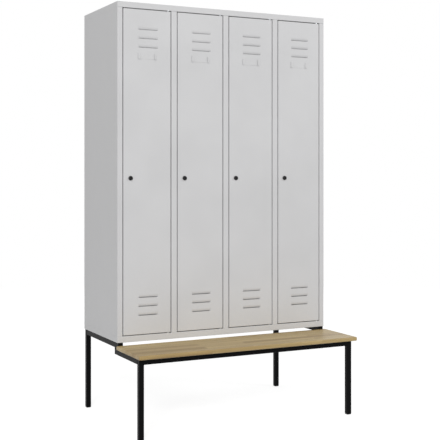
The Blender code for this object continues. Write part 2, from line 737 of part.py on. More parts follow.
def door_shape():
    """Door pan: face, four folded sides and an inner rim, with the louvres pressed into the face.

    The hinge axis is at X = 0 and Y = 0, and the bottom edge is at Z = 0.
    """
    left = PIVOT_INSET - DOOR_WIDTH
    face_y = -PIVOT_DEPTH
    middle = (left + DOOR_WIDTH / 2, face_y + DOOR_THICKNESS / 2, DOOR_HEIGHT / 2)
    shape = box_shape((DOOR_WIDTH, DOOR_THICKNESS, DOOR_HEIGHT), middle)
    inside = [face for face in shape.faces if looks(face, 1, 1)]
    bmesh.ops.inset_region(shape, faces=inside, thickness=DOOR_RETURN)
    bmesh.ops.delete(shape, geom=inside, context="FACES")
    folds = [edge for edge in shape.edges if len(edge.link_faces) == 2
             and (along(edge, 0) or along(edge, 1) or along(edge, 2))]
    round_edges(shape, folds, FOLD_RADIUS, FOLD_STEPS)
    louvre_left = left + (DOOR_WIDTH - LOUVRE_LENGTH) / 2 + LOUVRE_SHIFT
    louvre_right = louvre_left + LOUVRE_LENGTH
    heights = louvre_heights()
    lines = [((louvre_left, 0, 0), (1, 0, 0)), ((louvre_right, 0, 0), (1, 0, 0))]
    for slit in heights:
        lines.append(((0, 0, slit), UP))
        lines.append(((0, 0, slit + LOUVRE_HEIGHT), UP))
    for point, normal in lines:
        front = [face for face in shape.faces if looks(face, 1, -1)
                 and abs(face.calc_center_median().y - face_y) < MERGE]
        around = set(front)
        for face in front:
            around.update(face.edges)
            around.update(face.verts)
        bmesh.ops.bisect_plane(shape, geom=list(around), dist=MERGE, plane_co=point, plane_no=normal)
        shape.normal_update()
    for slit in heights:
        pressed = [face for face in shape.faces if looks(face, 1, -1)
                   and louvre_left < face.calc_center_median().x < louvre_right
                   and slit < face.calc_center_median().z < slit + LOUVRE_HEIGHT]
        bmesh.ops.delete(shape, geom=pressed, context="FACES_ONLY")
        press_louvre(shape, louvre_left, louvre_right, slit, face_y)
    bmesh.ops.remove_doubles(shape, verts=shape.verts, dist=MERGE)
    return shape


def make_door(door, hinge):
    name = "door_" + str(door + 1)
    leaf = place(name, door_shape(), GREY_PAINT, (0, 0, 0), hinge)
    thicken(leaf, DOOR_SHEET)
    pins = row_of_rods(PIN_RADIUS + PIN_PLAY, -OVERRUN, DOOR_HEIGHT + OVERRUN, [(0, 0)], PIN_STEPS)
    cut(leaf, place_cutter("pin_hole_" + name, pins, parent=hinge))
    hole = row_of_rods(BARREL_RADIUS + TOUCH, -OVERRUN, DOOR_SHEET + OVERRUN, [(0, 0)], LOCK_STEPS)
    cut(leaf, place_cutter("lock_hole_" + name, hole, lock_place(), hinge, (-math.pi / 2, 0, 0)))
    return leaf


def lock_place():
    """Middle of the lock on the door's face, from the hinge axis."""
    return (PIVOT_INSET - DOOR_WIDTH + LOCK_INSET, -PIVOT_DEPTH, LOCK_HEIGHT)


def make_stiffener(door, hinge):
    crown = STIFFENER_CROWN / 2
    foot = crown + STIFFENER_SPREAD
    edge = foot + STIFFENER_FLANGE
    outline = [(-edge, 0), (-foot, 0), (-crown, STIFFENER_DEPTH), (crown, STIFFENER_DEPTH), (foot, 0),
               (edge, 0)]
    heights = louvre_heights()
    low = heights[LOUVRES - 1] + LOUVRE_HEIGHT + STIFFENER_END_GAP
    high = heights[LOUVRES] - STIFFENER_END_GAP
    outline = [(x, y + SHEET) for x, y in outline]
    shape = folded_shape(outline, high - low, FOLD_RADIUS)
    x = PIVOT_INSET - DOOR_WIDTH / 2
    y = DOOR_SHEET + TOUCH - PIVOT_DEPTH
    stiffener = place("door_stiffener_" + str(door + 1), shape, GREY_PAINT, (x, y, low), hinge)
    thicken(stiffener, SHEET)


def make_label_holder(door, hinge):
    half = LABEL_WIDTH / 2
    curl = half - LABEL_CURL
    outline = [(-curl, -LABEL_RISE), (-half, -LABEL_RISE), (-half, 0), (half, 0), (half, -LABEL_RISE),
               (curl, -LABEL_RISE)]
    shape = folded_shape(outline, LABEL_HEIGHT, LABEL_SHEET)
    low = DOOR_HEIGHT - LABEL_FROM_TOP - LABEL_HEIGHT / 2
    middle = (PIVOT_INSET - DOOR_WIDTH / 2, -PIVOT_DEPTH - TOUCH, low)
    holder = place("label_holder_" + str(door + 1), shape, GREY_PAINT, middle, hinge)
    thicken(holder, LABEL_SHEET)


def make_lock(door, hinge):
    """Housing with its ring nut screwed home, and the cylinder and the cam that turn in it."""
    number = str(door + 1)
    facing_out = (math.pi / 2, 0, 0)
    bore = CYLINDER_RADIUS + CYLINDER_RUN
    nut_high = -DOOR_SHEET - TOUCH
    nut_low = nut_high - RING_NUT_HEIGHT
    housing = [(bore, HEAD_HEIGHT), (HEAD_RADIUS - HEAD_CHAMFER, HEAD_HEIGHT),
               (HEAD_RADIUS, HEAD_HEIGHT - HEAD_CHAMFER), (HEAD_RADIUS, TOUCH), (BARREL_RADIUS, TOUCH),
               (BARREL_RADIUS, nut_high), (RING_NUT_RADIUS, nut_high), (RING_NUT_RADIUS, nut_low),
               (BARREL_RADIUS, nut_low), (BARREL_RADIUS, -BARREL_LENGTH), (bore, -BARREL_LENGTH)]
    body = place("lock_housing_" + number, profile_shape(housing, True), BLACK_PLASTIC, lock_place(),
                 hinge, facing_out)
    turn_profile(body, LOCK_STEPS)
    axis = place_axis("lock_axis_" + number, lock_place(), hinge)
    face = HEAD_HEIGHT - CYLINDER_RECESS
    shoulder = TOUCH - CAM_SETBACK
    cam_nut_high = -CAM_SETBACK - CAM_THICKNESS - TOUCH
    cam_nut_low = cam_nut_high - CAM_NUT_HEIGHT
    chain = [(0, face), (CYLINDER_RADIUS, face), (CYLINDER_RADIUS, shoulder), (STUD_RADIUS, shoulder),
             (STUD_RADIUS, cam_nut_high), (CAM_NUT_RADIUS, cam_nut_high), (CAM_NUT_RADIUS, cam_nut_low),
             (0, cam_nut_low)]
    cylinder = place("lock_cylinder_" + number, profile_shape(chain, False), BLACK_PLASTIC, (0, 0, 0),
                     axis, facing_out)
    turn_profile(cylinder, LOCK_STEPS)
    slot_width, slot_height, slot_depth = KEY_SLOT
    slot = box_shape((slot_width, slot_depth + OVERRUN, slot_height))
    slot_y = -face + (slot_depth - OVERRUN) / 2
    cut(cylinder, place_cutter("key_slot_" + number, slot, (0, slot_y, 0), axis))
    make_cam(number, axis)


def make_cam(number, axis):
    """The flat cam hangs down while the lock is open, and turns a quarter to the left to catch."""
    half = CAM_WIDTH / 2
    reach = LOCK_INSET + DOOR_GAP_LOCK + CAM_CATCH
    turns = [math.pi * step / CAM_STEPS for step in range(CAM_STEPS + 1)]
    outline = [(half * math.cos(turn), half * math.sin(turn)) for turn in turns]
    tip = CAM_TIP_WIDTH / 2
    outline += [(-half, half - reach), (-tip, -reach), (tip, -reach), (half, half - reach)]
    shape = plate_shape(outline, CAM_THICKNESS)
    cam = place("lock_cam_" + number, shape, BRIGHT_ZINC, (0, CAM_SETBACK + CAM_THICKNESS / 2, 0), axis,
                (0, 0, math.pi / 2))
    hole = row_of_rods(STUD_RADIUS + TOUCH, -CAM_SETBACK - CAM_THICKNESS - OVERRUN,
                       OVERRUN - CAM_SETBACK, [(0, 0)], BOLT_STEPS)
    cut(cam, place_cutter("cam_hole_" + number, hole, (0, 0, 0), axis, (math.pi / 2, 0, 0)))


def make_doors():
    for door in range(DOORS):
        hinge = place_axis("hinge_axis_" + str(door + 1), (pivot_x(door), pivot_y(), DOOR_BOTTOM))
        make_door(door, hinge)
        make_stiffener(door, hinge)
        make_label_holder(door, hinge)
        make_lock(door, hinge)


def make_frame():
    make_side_frames()
    make_foot_caps()
    make_cross_rails()


def make_seat():
    make_board()
    make_screws()


def make_carcass():
    make_side_panels()
    make_back_panel()
    make_top_panel()
    make_bottom_panel()
    make_posts_and_dividers()
    make_bolts()


def make_fittings():
    make_shelves()
    make_coat_rails()


for leftover in list(bpy.data.objects):
    bpy.data.objects.remove(leftover, do_unlink=True)

PARTS = new_collection("clothes_locker_with_bench")
CUTTERS = new_collection("cutters")
GREY_PAINT = new_material("powder_coated_sheet", PAINT_GREY, 0.45, 0.0)
BLACK_STEEL = new_material("black_tube", STEEL_BLACK, 0.40, 0.0)
BLACK_PLASTIC = new_material("black_plastic", PLASTIC_BLACK, 0.45, 0.0)
WOOD = new_material("lacquered_beech", BEECH, 0.40, 0.0)
BRIGHT_ZINC = new_material("zinc_plate", ZINC, 0.35, 1.0)

make_frame()
make_seat()
make_carcass()
make_fittings()
make_doors()
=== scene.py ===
"""Clothes locker with a bench, dressed for a plain studio picture.

Everything is in metres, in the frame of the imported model: the front looks towards -Y, the floor is
at Z = 0 and the middle of the piece is at X = 0.
"""

import json
import math

import bmesh
import bpy
from mathutils import Euler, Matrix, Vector


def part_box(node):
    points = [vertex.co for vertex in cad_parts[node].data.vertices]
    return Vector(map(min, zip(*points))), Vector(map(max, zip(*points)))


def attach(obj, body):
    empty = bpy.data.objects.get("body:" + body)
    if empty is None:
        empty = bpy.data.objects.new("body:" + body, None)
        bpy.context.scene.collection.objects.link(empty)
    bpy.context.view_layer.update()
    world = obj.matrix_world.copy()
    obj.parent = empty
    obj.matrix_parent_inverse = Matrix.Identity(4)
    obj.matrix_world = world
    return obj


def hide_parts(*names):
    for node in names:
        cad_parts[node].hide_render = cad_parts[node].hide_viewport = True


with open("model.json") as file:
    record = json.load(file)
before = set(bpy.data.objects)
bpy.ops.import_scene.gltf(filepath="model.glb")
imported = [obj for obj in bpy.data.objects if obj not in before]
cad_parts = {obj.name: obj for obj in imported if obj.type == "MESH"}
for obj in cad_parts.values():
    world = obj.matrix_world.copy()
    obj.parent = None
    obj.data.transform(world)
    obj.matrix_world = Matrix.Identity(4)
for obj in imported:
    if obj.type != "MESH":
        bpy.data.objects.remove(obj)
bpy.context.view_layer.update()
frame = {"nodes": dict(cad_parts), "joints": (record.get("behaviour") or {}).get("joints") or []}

# Sizes that the shown pieces share with the solids
DOORS = 4
SHEET = 0.001
TOUCH = 0.0003              # seam between pieces that lie on each other
OVERRUN = 0.004             # reach of a cutter past what it cuts
FOLD_RADIUS = 0.002
POST_DEPTH = 0.030
REAR_FLANGE = 0.015
BOTTOM_FLANGE = 0.032
DOOR_GAP_LOCK = 0.004
DOOR_RETURN = 0.012
LOUVRES = 3
LOUVRE_LENGTH = 0.105
LOUVRE_HEIGHT = 0.017
LOUVRE_DEPTH = 0.008
LOUVRE_TAPER = 0.007
LOUVRE_PITCH = 0.044
LOUVRE_FROM_TOP = 0.1005
LOUVRE_FROM_BOTTOM = 0.0925
LOUVRE_SHIFT = 0.005
LABEL_SHEET = 0.0008
LABEL_CURL = 0.010
BARREL_RADIUS = 0.0080
CYLINDER_RADIUS = 0.0055
CYLINDER_RUN = 0.0003       # room in which the cylinder turns
STUD_RADIUS = 0.003
CAM_TIP_WIDTH = 0.007
STRIKE_PLAY = 0.0015        # room round a cam in its slot
STIFFENER_FLANGE = 0.010
STIFFENER_SPREAD = 0.005
PIN_RADIUS = 0.003
PIN_COLLAR_RADIUS = 0.005
PIN_REACH = 0.007
TAB_WIDTH = 0.030
TAB_SHEET = 0.0015
TAB_HEIGHT = 0.010
TAB_INSET = 0.040
BOLT_HOLE_RADIUS = 0.0033
LEG_WIDTH = 0.025
RAIL_HEIGHT = 0.028
RAIL_LAP = 0.052
TUBE_WALL = 0.0015
TUBE_RADIUS = 0.002
FOOT_RADIUS = 0.004
COAT_TUBE = 0.0095
BOARD_EDGE_RADIUS = 0.006

# Fineness of the shown pieces
FOLD_STEPS = 5
LOUVRE_STEPS = 10
CURL_STEPS = 9
BOARD_STEPS = 8
CAM_STEPS = 16
ROUND_STEPS = 48            # locks and coat rails
PIN_STEPS = 32              # hinge pins, screws, bolts and hooks
HOLE_STEPS = 24             # small holes and flat rivets
RAIL_SCREW_STEPS = 20
HEXAGON = 6
SMOOTH_ANGLE = math.radians(35)
MERGE = 0.00001             # corners nearer than this are one
FACING = 0.9                # cosine from which a face or an edge goes a given way
ROUND_PROFILE = 0.5

# Cylinder lock; heights are above the door's face, and below it less than 0
BORE_CHAMFER_WIDTH = 0.0004
BORE_CHAMFER_HEIGHT = 0.0006
HEAD_RADIUS = 0.0105
HEAD_ROUND = 0.0020
HEAD_LIP = [(0.0105, 0.0016), (0.0111, 0.0012), (0.0111, TOUCH)]
RING_NUT = [(BARREL_RADIUS, -0.0013), (0.0105, -0.0013), (0.0120, -0.0020), (0.0120, -0.0046),
            (0.0105, -0.0053), (BARREL_RADIUS, -0.0053)]
CYLINDER_CHAMFER = 0.0006
CAM_NUT_RADIUS = 0.0050
CAM_NUT_NEAR_CHAMFER = 0.0004
CAM_NUT_FAR_CHAMFER = 0.0006
KEY_SLOT_WIDTH = 0.0014
KEY_SLOT_LENGTH = 0.0070
KEY_SLOT_DEPTH = 0.0040
CAM_EDGE_RADIUS = 0.0003
CAM_EDGE_STEPS = 2

# Hinge pins and stop tabs
PIN_CHAMFER = 0.00075
TAB_CORNER = 0.003

# Weld beads
BEAD_RADIUS = 0.0015
BEAD_RIPPLE = 0.0015
BEAD_SUNK = 0.0004
BEAD_TROUGH = 0.78          # share of a bead's radius between two ripples
BEAD_ROUNDNESS = 2
LEAST_RIPPLES = 4

# Coat hooks
HOOKS = 3
HOOK_PITCH = 0.062
HOOK_BAND = 0.009           # width of the clip on the rail
HOOK_SLACK = 0.0008         # the clip slides on the rail
HOOK_WALL = 0.0026
PRONG_RADIUS = 0.0026
HOOK_NECK = 0.013
HOOK_BEND = 0.0135
HOOK_SWEEP = (180, 345)     # degrees round the bend, from the neck to the tip
HOOK_STEPS = 14
HOOK_ROUNDNESS = 3
HOOK_TIP = (1.25, 1.55, 1.6, 1.4, 0.9)  # shares of the prong's radius, up to its end

# Small fasteners; profiles are (radius, height) points
LABEL_RIVET_SPREAD = 0.030
RIVET_HEAD = [(0, 0.0007), (0.0012, 0.0006), (0.0019, 0.0003), (0.0021, 0), (0, 0)]
RAIL_SCREW_SPREAD = 0.0145
RAIL_SCREW_HEAD = [(0, 0.0012), (0.0015, 0.0010), (0.0024, 0.0003), (0.0025, 0), (0, 0)]

# Seat screws
SEAT_SCREWS = 4
SCREW_SHANK = 0.0019
SCREW_TIP = 0.2             # share of the shank's radius at the tip
SCREW_POINT = 0.004
SCREW_PITCH = 0.0009
SCREW_THREAD = [(0.0014, 0.0003), (0.0020, 0.0007)]     # core and crest, with places in the pitch
SCREW_PLAIN = 0.003         # plain shank under the head
SCREW_HEAD_HEIGHT = 0.0025
SCREW_HEAD = [(1, 1), (1, 0.6), (0.93, 0.3), (0.7, 0)]  # shares of the head's radius and height
CROSS_DEPTH = 0.0014
CROSS_HALF_LENGTH = 0.0024
CROSS_HALF_WIDTH = 0.0005

# Locker bolts
BOLT_RADIUS = 0.0030
BOLT_CORE = 0.0026
BOLT_TIP = 0.0024
BOLT_CHAMFER = 0.0008
BOLT_THREAD_FROM = 0.0012
BOLT_THREAD_TO = 0.0120
BOLT_PITCH = 0.0010
BOLT_TURNS = 10
BOLT_HEAD_HEIGHT = 0.004
BOLT_NUT_HEIGHT = 0.005

# End plates of the coat rails
RAIL_BORE = 0.0080
PLATE_THICKNESS = 0.003
PLATE_CHAMFER = 0.001
NECK_FILLET = 0.002
NECK_FILLET_MIDDLE = 0.0006

ROOT = "frame_and_carcass"
DOOR_NUMBERS = [str(door) for door in range(1, DOORS + 1)]
CROSS_RAILS = ("bench_rail_front", "bench_rail_rear", "locker_rail_rear")
BOLTS = ("locker_bolt_left", "locker_bolt_right")
SIDES = (("left", -1), ("right", 1))
UP, OUTWARD, SIDEWAYS = (0, 0, 1), (0, -1, 0), (1, 0, 0)


# Finishes

def srgb(code):
    """Linear colour of an sRGB hex code."""
    channels = [int(code[place:place + 2], 16) / 255 for place in (0, 2, 4)]
    linear = [value / 12.92 if value <= 0.04045 else ((value + 0.055) / 1.055) ** 2.4
              for value in channels]
    return (*linear, 1.0)


def add_node(tree, kind, settings, inputs):
    """Add a node with its settings; an input is a value, or the output that feeds it.

    The setting "stops" holds the (place, sRGB code) stops of a colour ramp.
    """
    node = tree.nodes.new(kind)
    for name, value in settings.items():
        if name == "stops":
            for place, code in value[2:]:
                node.color_ramp.elements.new(place)
            for stop, (place, code) in zip(node.color_ramp.elements, sorted(value)):
                stop.position, stop.color = place, srgb(code)
        else:
            setattr(node, name, value)
    for name, value in inputs.items():
        if isinstance(value, bpy.types.NodeSocket):
            tree.links.new(value, node.inputs[name])
        else:
            node.inputs[name].default_value = value
    return node.outputs


# Spacings of the patterns in millimetres, as they are drawn
HANDLING_CLOUDS = 260
ORANGE_PEEL = 3
TUBE_GRAIN = 2
GROWTH_LINES = 5
HEART_BANDS = 26
WOOD_RAYS = 1
MOULD_GRAIN = 1
CHROMATE_CLOUDS = 4
ZINC_CLOUDS = 9

# Staves of the board, in metres
STAVE_LENGTH = 0.62
STAVE_WIDTH = 0.0444
GLUE_LINE = 0.0003
STAVE_SHIFT = 0.37          # share of a stave's length from row to row
STAVE_STEP = (3.1, 0.7, 1.3)    # how far the grain moves from the darkest stave to the lightest
GROWTH_STRETCH = (0.04, 1, 1)   # scales of the patterns along and across the grain
RAY_STRETCH = (0.25, 1, 1)

# Where the values of a noise pattern lie
DARK, LIGHT = 0.3, 0.7
SPREAD = {"From Min": DARK, "From Max": LIGHT}


def per_metre(millimetres):
    """Texture scale of a pattern that repeats at this spacing."""
    return 1000 / millimetres


def new_finish(name, plain):
    """A material, its node tree, its shader and the object's own coordinates."""
    material = bpy.data.materials.new(name)
    material.use_nodes = True
    tree = material.node_tree
    shader = tree.nodes["Principled BSDF"]
    for socket, value in plain.items():
        shader.inputs[socket].default_value = value
    return material, tree, shader, add_node(tree, "ShaderNodeTexCoord", {}, {})["Object"]


def feed(tree, shader, patterns):
    for socket, pattern in patterns.items():
        tree.links.new(pattern, shader.inputs[socket])


def patterned(name, plain, spacing, colours, detail=2.0, gloss=(), bump=()):
    """A finish whose colour, gloss and surface all follow one noise pattern.

    Gloss is the least and the greatest roughness; bump is its share and its depth in metres.
    """
    material, tree, shader, place = new_finish(name, plain)
    grain = add_node(tree, "ShaderNodeTexNoise", {},
                     {"Vector": place, "Scale": per_metre(spacing), "Detail": detail})["Fac"]
    stops = list(zip((DARK, LIGHT), colours))
    patterns = {"Base Color": add_node(tree, "ShaderNodeValToRGB", {"stops": stops},
                                       {"Fac": grain})["Color"]}
    if gloss:
        least, most = gloss
        patterns["Roughness"] = add_node(
            tree, "ShaderNodeMapRange", {},
            {"Value": grain, **SPREAD, "To Min": least, "To Max": most})["Result"]
    if bump:
        share, depth = bump
        patterns["Normal"] = add_node(
            tree, "ShaderNodeBump", {},
            {"Height": grain, "Strength": share, "Distance": depth})["Normal"]
    feed(tree, shader, patterns)
    return material


def grey_powder_coat():
    """Polyester powder baked on steel sheet: an even light grey, satin, with orange peel.

    The real peel has bumps about 1.5 mm apart; they are drawn 3 mm apart, so that they show. Hands
    and cleaning leave the gloss a little uneven.
    """
    material, tree, shader, place = new_finish("light_grey_powder_coat", {"Roughness": 0.45})
    cloud = add_node(tree, "ShaderNodeTexNoise", {},
                     {"Vector": place, "Scale": per_metre(HANDLING_CLOUDS)})["Fac"]
    colour = add_node(tree, "ShaderNodeValToRGB", {"stops": [(0.35, "CECECF"), (0.65, "D2D2D3")]},
                      {"Fac": cloud})["Color"]
    peel = add_node(tree, "ShaderNodeTexNoise", {},
                    {"Vector": place, "Scale": per_metre(ORANGE_PEEL), "Detail": 3.0})["Fac"]
    gloss = add_node(tree, "ShaderNodeMapRange", {},
                     {"Value": cloud, "From Min": 0.35, "From Max": 0.65, "To Min": 0.41,
                      "To Max": 0.49})["Result"]
    surface = add_node(tree, "ShaderNodeBump", {},
                       {"Height": peel, "Strength": 0.25, "Distance": 0.00008})["Normal"]
    feed(tree, shader, {"Base Color": colour, "Roughness": gloss, "Normal": surface})
    return material


def black_powder_coat():
    """Black polyester powder baked on steel tube: deep and satin, with a fine grain.

    The grain is about 1 mm in the real coat and is drawn at 2 mm, so that it shows.
    """
    return patterned("black_powder_coat", {"Roughness": 0.42, "Specular IOR Level": 0.06},
                     TUBE_GRAIN, ("050506", "0C0C0D"), detail=3.0, gloss=(0.38, 0.46),
                     bump=(0.3, 0.0001))


def lacquered_beech():
    """Beech glued from staves and lacquered: pale brown staves, each a little lighter or darker.

    Staves are 44 mm wide and run lengthwise; growth lines are a few millimetres apart, and the
    rays show as short dark flecks, drawn 1 mm wide where real ones are half as wide.
    """
    material, tree, shader, place = new_finish(
        "lacquered_beech_staves", {"Roughness": 0.42, "Coat Weight": 0.1, "Coat Roughness": 0.28})
    staves = add_node(tree, "ShaderNodeTexBrick", {"offset": STAVE_SHIFT},
                      {"Vector": place, "Color1": (0, 0, 0, 1), "Color2": (1, 1, 1, 1),
                       "Mortar": (0.5, 0.5, 0.5, 1), "Scale": 1.0, "Mortar Size": GLUE_LINE,
                       "Mortar Smooth": 0.3, "Brick Width": STAVE_LENGTH,
                       "Row Height": STAVE_WIDTH})
    own_place = add_node(tree, "ShaderNodeVectorMath", {"operation": "MULTIPLY_ADD"},
                         {0: staves["Color"], 1: STAVE_STEP, 2: place})["Vector"]
    long = add_node(tree, "ShaderNodeMapping", {},
                    {"Vector": own_place, "Scale": GROWTH_STRETCH})["Vector"]
    growth = add_node(tree, "ShaderNodeTexNoise", {},
                      {"Vector": long, "Scale": per_metre(GROWTH_LINES), "Detail": 4.0})["Fac"]
    bands = add_node(tree, "ShaderNodeTexNoise", {},
                     {"Vector": long, "Scale": per_metre(HEART_BANDS)})["Fac"]
    short = add_node(tree, "ShaderNodeMapping", {},
                     {"Vector": own_place, "Scale": RAY_STRETCH})["Vector"]
    rays = add_node(tree, "ShaderNodeTexNoise", {},
                    {"Vector": short, "Scale": per_metre(WOOD_RAYS), "Detail": 1.0})["Fac"]
    wood = add_node(tree, "ShaderNodeValToRGB",
                    {"stops": [(DARK, "AF9663"), (LIGHT, "C8B27C")]}, {"Fac": growth})["Color"]
    heart = add_node(tree, "ShaderNodeValToRGB", {"stops": [(0.35, "A48B58"), (0.65, "D4BE8A")]},
                     {"Fac": bands})["Color"]
    stave_tint = add_node(tree, "ShaderNodeValToRGB", {"stops": [(0.0, "D6CBB9"), (1.0, "FFFFFF")]},
                          {"Fac": staves["Color"]})["Color"]
    fleck_tint = add_node(tree, "ShaderNodeValToRGB", {"stops": [(0.3, "CDBFA8"), (0.4, "FFFFFF")]},
                          {"Fac": rays})["Color"]
    joint_tint = add_node(tree, "ShaderNodeValToRGB", {"stops": [(0.0, "FFFFFF"), (1.0, "8F7A5C")]},
                          {"Fac": staves["Fac"]})["Color"]
    colour = add_node(tree, "ShaderNodeMix", {"data_type": "RGBA"}, {0: 0.5, 6: wood, 7: heart})[2]
    for tint in (stave_tint, fleck_tint, joint_tint):
        colour = add_node(tree, "ShaderNodeMix", {"data_type": "RGBA", "blend_type": "MULTIPLY"},
                          {0: 1.0, 6: colour, 7: tint})[2]
    gloss = add_node(tree, "ShaderNodeMapRange", {},
                     {"Value": growth, **SPREAD, "To Min": 0.36, "To Max": 0.5})["Result"]
    surface = add_node(tree, "ShaderNodeBump", {},
                       {"Height": growth, "Strength": 0.2, "Distance": 0.0001})["Normal"]
    feed(tree, shader, {"Base Color": colour, "Roughness": gloss, "Normal": surface})
    return material


def moulded_polyamide():
    """Injection-moulded black polyamide: the faint matt grain of a spark-eroded mould.

    The grain is about 0.5 mm in a real mould and is drawn at 1 mm, so that it shows.
    """
    return patterned("moulded_black_polyamide", {"Roughness": 0.5, "Specular IOR Level": 0.3},
                     MOULD_GRAIN, ("0F0F10", "1A1A1B"), bump=(0.3, 0.00005))


def black_chromate():
    """Die-cast zinc in black chromate, as on lock cases: nearly black, with a low sheen."""
    return patterned("black_chromated_zinc", {"Roughness": 0.34, "Specular IOR Level": 0.3},
                     CHROMATE_CLOUDS, ("0B0B0C", "161618"), gloss=(0.28, 0.4))


def bright_zinc():
    """Zinc plate, passivated blue: a bright grey metal whose reflections are soft and uneven."""
    return patterned("blue_passivated_zinc", {"Metallic": 1.0}, ZINC_CLOUDS,
                     ("B4B8BC", "CDD0D2"), detail=3.0, gloss=(0.26, 0.4))


GREY_COAT = grey_powder_coat()
BLACK_COAT = black_powder_coat()
BEECH = lacquered_beech()
POLYAMIDE = moulded_polyamide()
LOCK_BLACK = black_chromate()
ZINC = bright_zinc()


# Making pieces

def put_in_scene(name, data):
    made = bpy.data.objects.new(name, data)
    bpy.context.scene.collection.objects.link(made)
    return made


def mesh_of(name, shape):
    """Turn a bmesh into a mesh, and let the bmesh go."""
    mesh = bpy.data.meshes.new(name)
    shape.to_mesh(mesh)
    shape.free()
    return mesh


def show(name, shape, finish, body, *nodes, sheet=0.0, cutters=()):
    """Turn a bmesh into a shown piece that rides on a body and stands for solids."""
    shown = put_in_scene(name, mesh_of(name, shape))
    if sheet:
        modifier = shown.modifiers.new("sheet", "SOLIDIFY")
        modifier.thickness = sheet
        modifier.offset = -1
        modifier.use_even_offset = True
    for cutter in cutters:
        modifier = shown.modifiers.new("cut", "BOOLEAN")
        modifier.operation = "DIFFERENCE"
        modifier.object = cutter
    settle(shown)
    for cutter in cutters:
        bpy.data.objects.remove(cutter, do_unlink=True)
    shown.data.materials.clear()
    shown.data.materials.append(finish)
    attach(shown, body)
    if nodes:
        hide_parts(*nodes)


def settle(shown):
    """Apply the modifiers and shade by angle, with flat faces kept flat."""
    bpy.context.view_layer.update()
    graph = bpy.context.evaluated_depsgraph_get()
    mesh = bpy.data.meshes.new_from_object(shown.evaluated_get(graph))
    shown.modifiers.clear()
    shown.data = mesh
    mesh.shade_smooth()
    mesh.set_sharp_from_angle(angle=SMOOTH_ANGLE)
    weighted = shown.modifiers.new("flat_faces_stay_flat", "WEIGHTED_NORMAL")
    weighted.keep_sharp = True


def cutter_from(shape):
    return put_in_scene("cutter", mesh_of("cutter", shape))


def box_shape(low, high):
    shape = bmesh.new()
    bmesh.ops.create_cube(shape, size=1)
    bmesh.ops.scale(shape, vec=Vector(high) - Vector(low), verts=shape.verts)
    bmesh.ops.translate(shape, vec=(Vector(high) + Vector(low)) / 2, verts=shape.verts)
    shape.normal_update()
    return shape


def round_edges(shape, edges, radius, steps=FOLD_STEPS):
    bmesh.ops.bevel(shape, geom=list(edges), offset=radius, offset_type="OFFSET", segments=steps,
                    profile=ROUND_PROFILE, affect="EDGES", clamp_overlap=True)


def along(edge, axis):
    run = (edge.verts[1].co - edge.verts[0].co).normalized()
    return abs(run[axis]) > FACING


def edges_along(shape, axis):
    return [edge for edge in shape.edges if along(edge, axis)]


def looks(face, axis, sign):
    return face.normal[axis] * sign > FACING


def folded_shape(outline, low, high, radius):
    """A sheet folded along an outline in X and Y, from one height to another.

    The outside is to the left of the way that the outline goes.
    """
    shape = bmesh.new()
    corners = [shape.verts.new((x, y, low)) for x, y in outline]
    edges = [shape.edges.new(pair) for pair in zip(corners, corners[1:])]
    grown = bmesh.ops.extrude_edge_only(shape, edges=edges)["geom"]
    raised = [item for item in grown if isinstance(item, bmesh.types.BMVert)]
    bmesh.ops.translate(shape, vec=(0, 0, high - low), verts=raised)
    shape.normal_update()
    (x, y), (next_x, next_y) = outline[0], outline[1]
    outside = Vector((y - next_y, next_x - x, 0))
    middle = Vector(((x + next_x) / 2, (y + next_y) / 2, (low + high) / 2))
    nearest = min(shape.faces, key=lambda face: (face.calc_center_median() - middle).length)
    if nearest.normal.dot(outside) < 0:
        bmesh.ops.reverse_faces(shape, faces=shape.faces)
    if radius:
        folds = [edge for edge in shape.edges if len(edge.link_faces) == 2 and along(edge, 2)]
        round_edges(shape, folds, radius)
    return shape


def draw_out(shape, faces, way):
    """Extrude faces along a vector."""
    grown = bmesh.ops.extrude_face_region(shape, geom=faces)["geom"]
    moved = [item for item in grown if isinstance(item, bmesh.types.BMVert)]
    bmesh.ops.translate(shape, vec=way, verts=moved)


def plate_shape(places, way):
    """A flat plate: an outline of places, drawn out along a vector."""
    shape = bmesh.new()
    draw_out(shape, [shape.faces.new([shape.verts.new(place) for place in places])], way)
    bmesh.ops.recalc_face_normals(shape, faces=shape.faces)
    return shape


def turned_shape(points, middle, axis, closed=False, steps=ROUND_STEPS):
    """A profile of (radius, distance along the axis) points, turned about an axis."""
    shape = bmesh.new()
    corners = [shape.verts.new((radius, 0, height)) for radius, height in points]
    pairs = list(zip(corners, corners[1:]))
    if closed:
        pairs.append((corners[-1], corners[0]))
    edges = [shape.edges.new(pair) for pair in pairs]
    bmesh.ops.spin(shape, geom=corners + edges, cent=(0, 0, 0), axis=UP, dvec=(0, 0, 0),
                   angle=2 * math.pi, steps=steps, use_merge=True)
    bmesh.ops.remove_doubles(shape, verts=shape.verts, dist=MERGE)
    bmesh.ops.recalc_face_normals(shape, faces=shape.faces)
    turn = Vector(UP).rotation_difference(Vector(axis)).to_matrix()
    bmesh.ops.rotate(shape, cent=(0, 0, 0), matrix=turn, verts=shape.verts)
    bmesh.ops.translate(shape, vec=middle, verts=shape.verts)
    return shape


def add_shape(shape, more):
    """Join a second bmesh into the first as a separate solid."""
    mesh = mesh_of("joined", more)
    shape.from_mesh(mesh)
    bpy.data.meshes.remove(mesh)


def rod(radius, low, high, middle, axis, steps=ROUND_STEPS):
    profile = [(0, high), (radius, high), (radius, low), (0, low)]
    return turned_shape(profile, middle, axis, steps=steps)


def arc(cx, cy, radius, start, end, steps=FOLD_STEPS):
    """Points along an arc, with its angles in degrees."""
    turns = [math.radians(start + (end - start) * step / steps) for step in range(steps + 1)]
    return [(cx + radius * math.cos(turn), cy + radius * math.sin(turn)) for turn in turns]


def middle_of(node):
    low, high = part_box(node)
    return (low + high) / 2


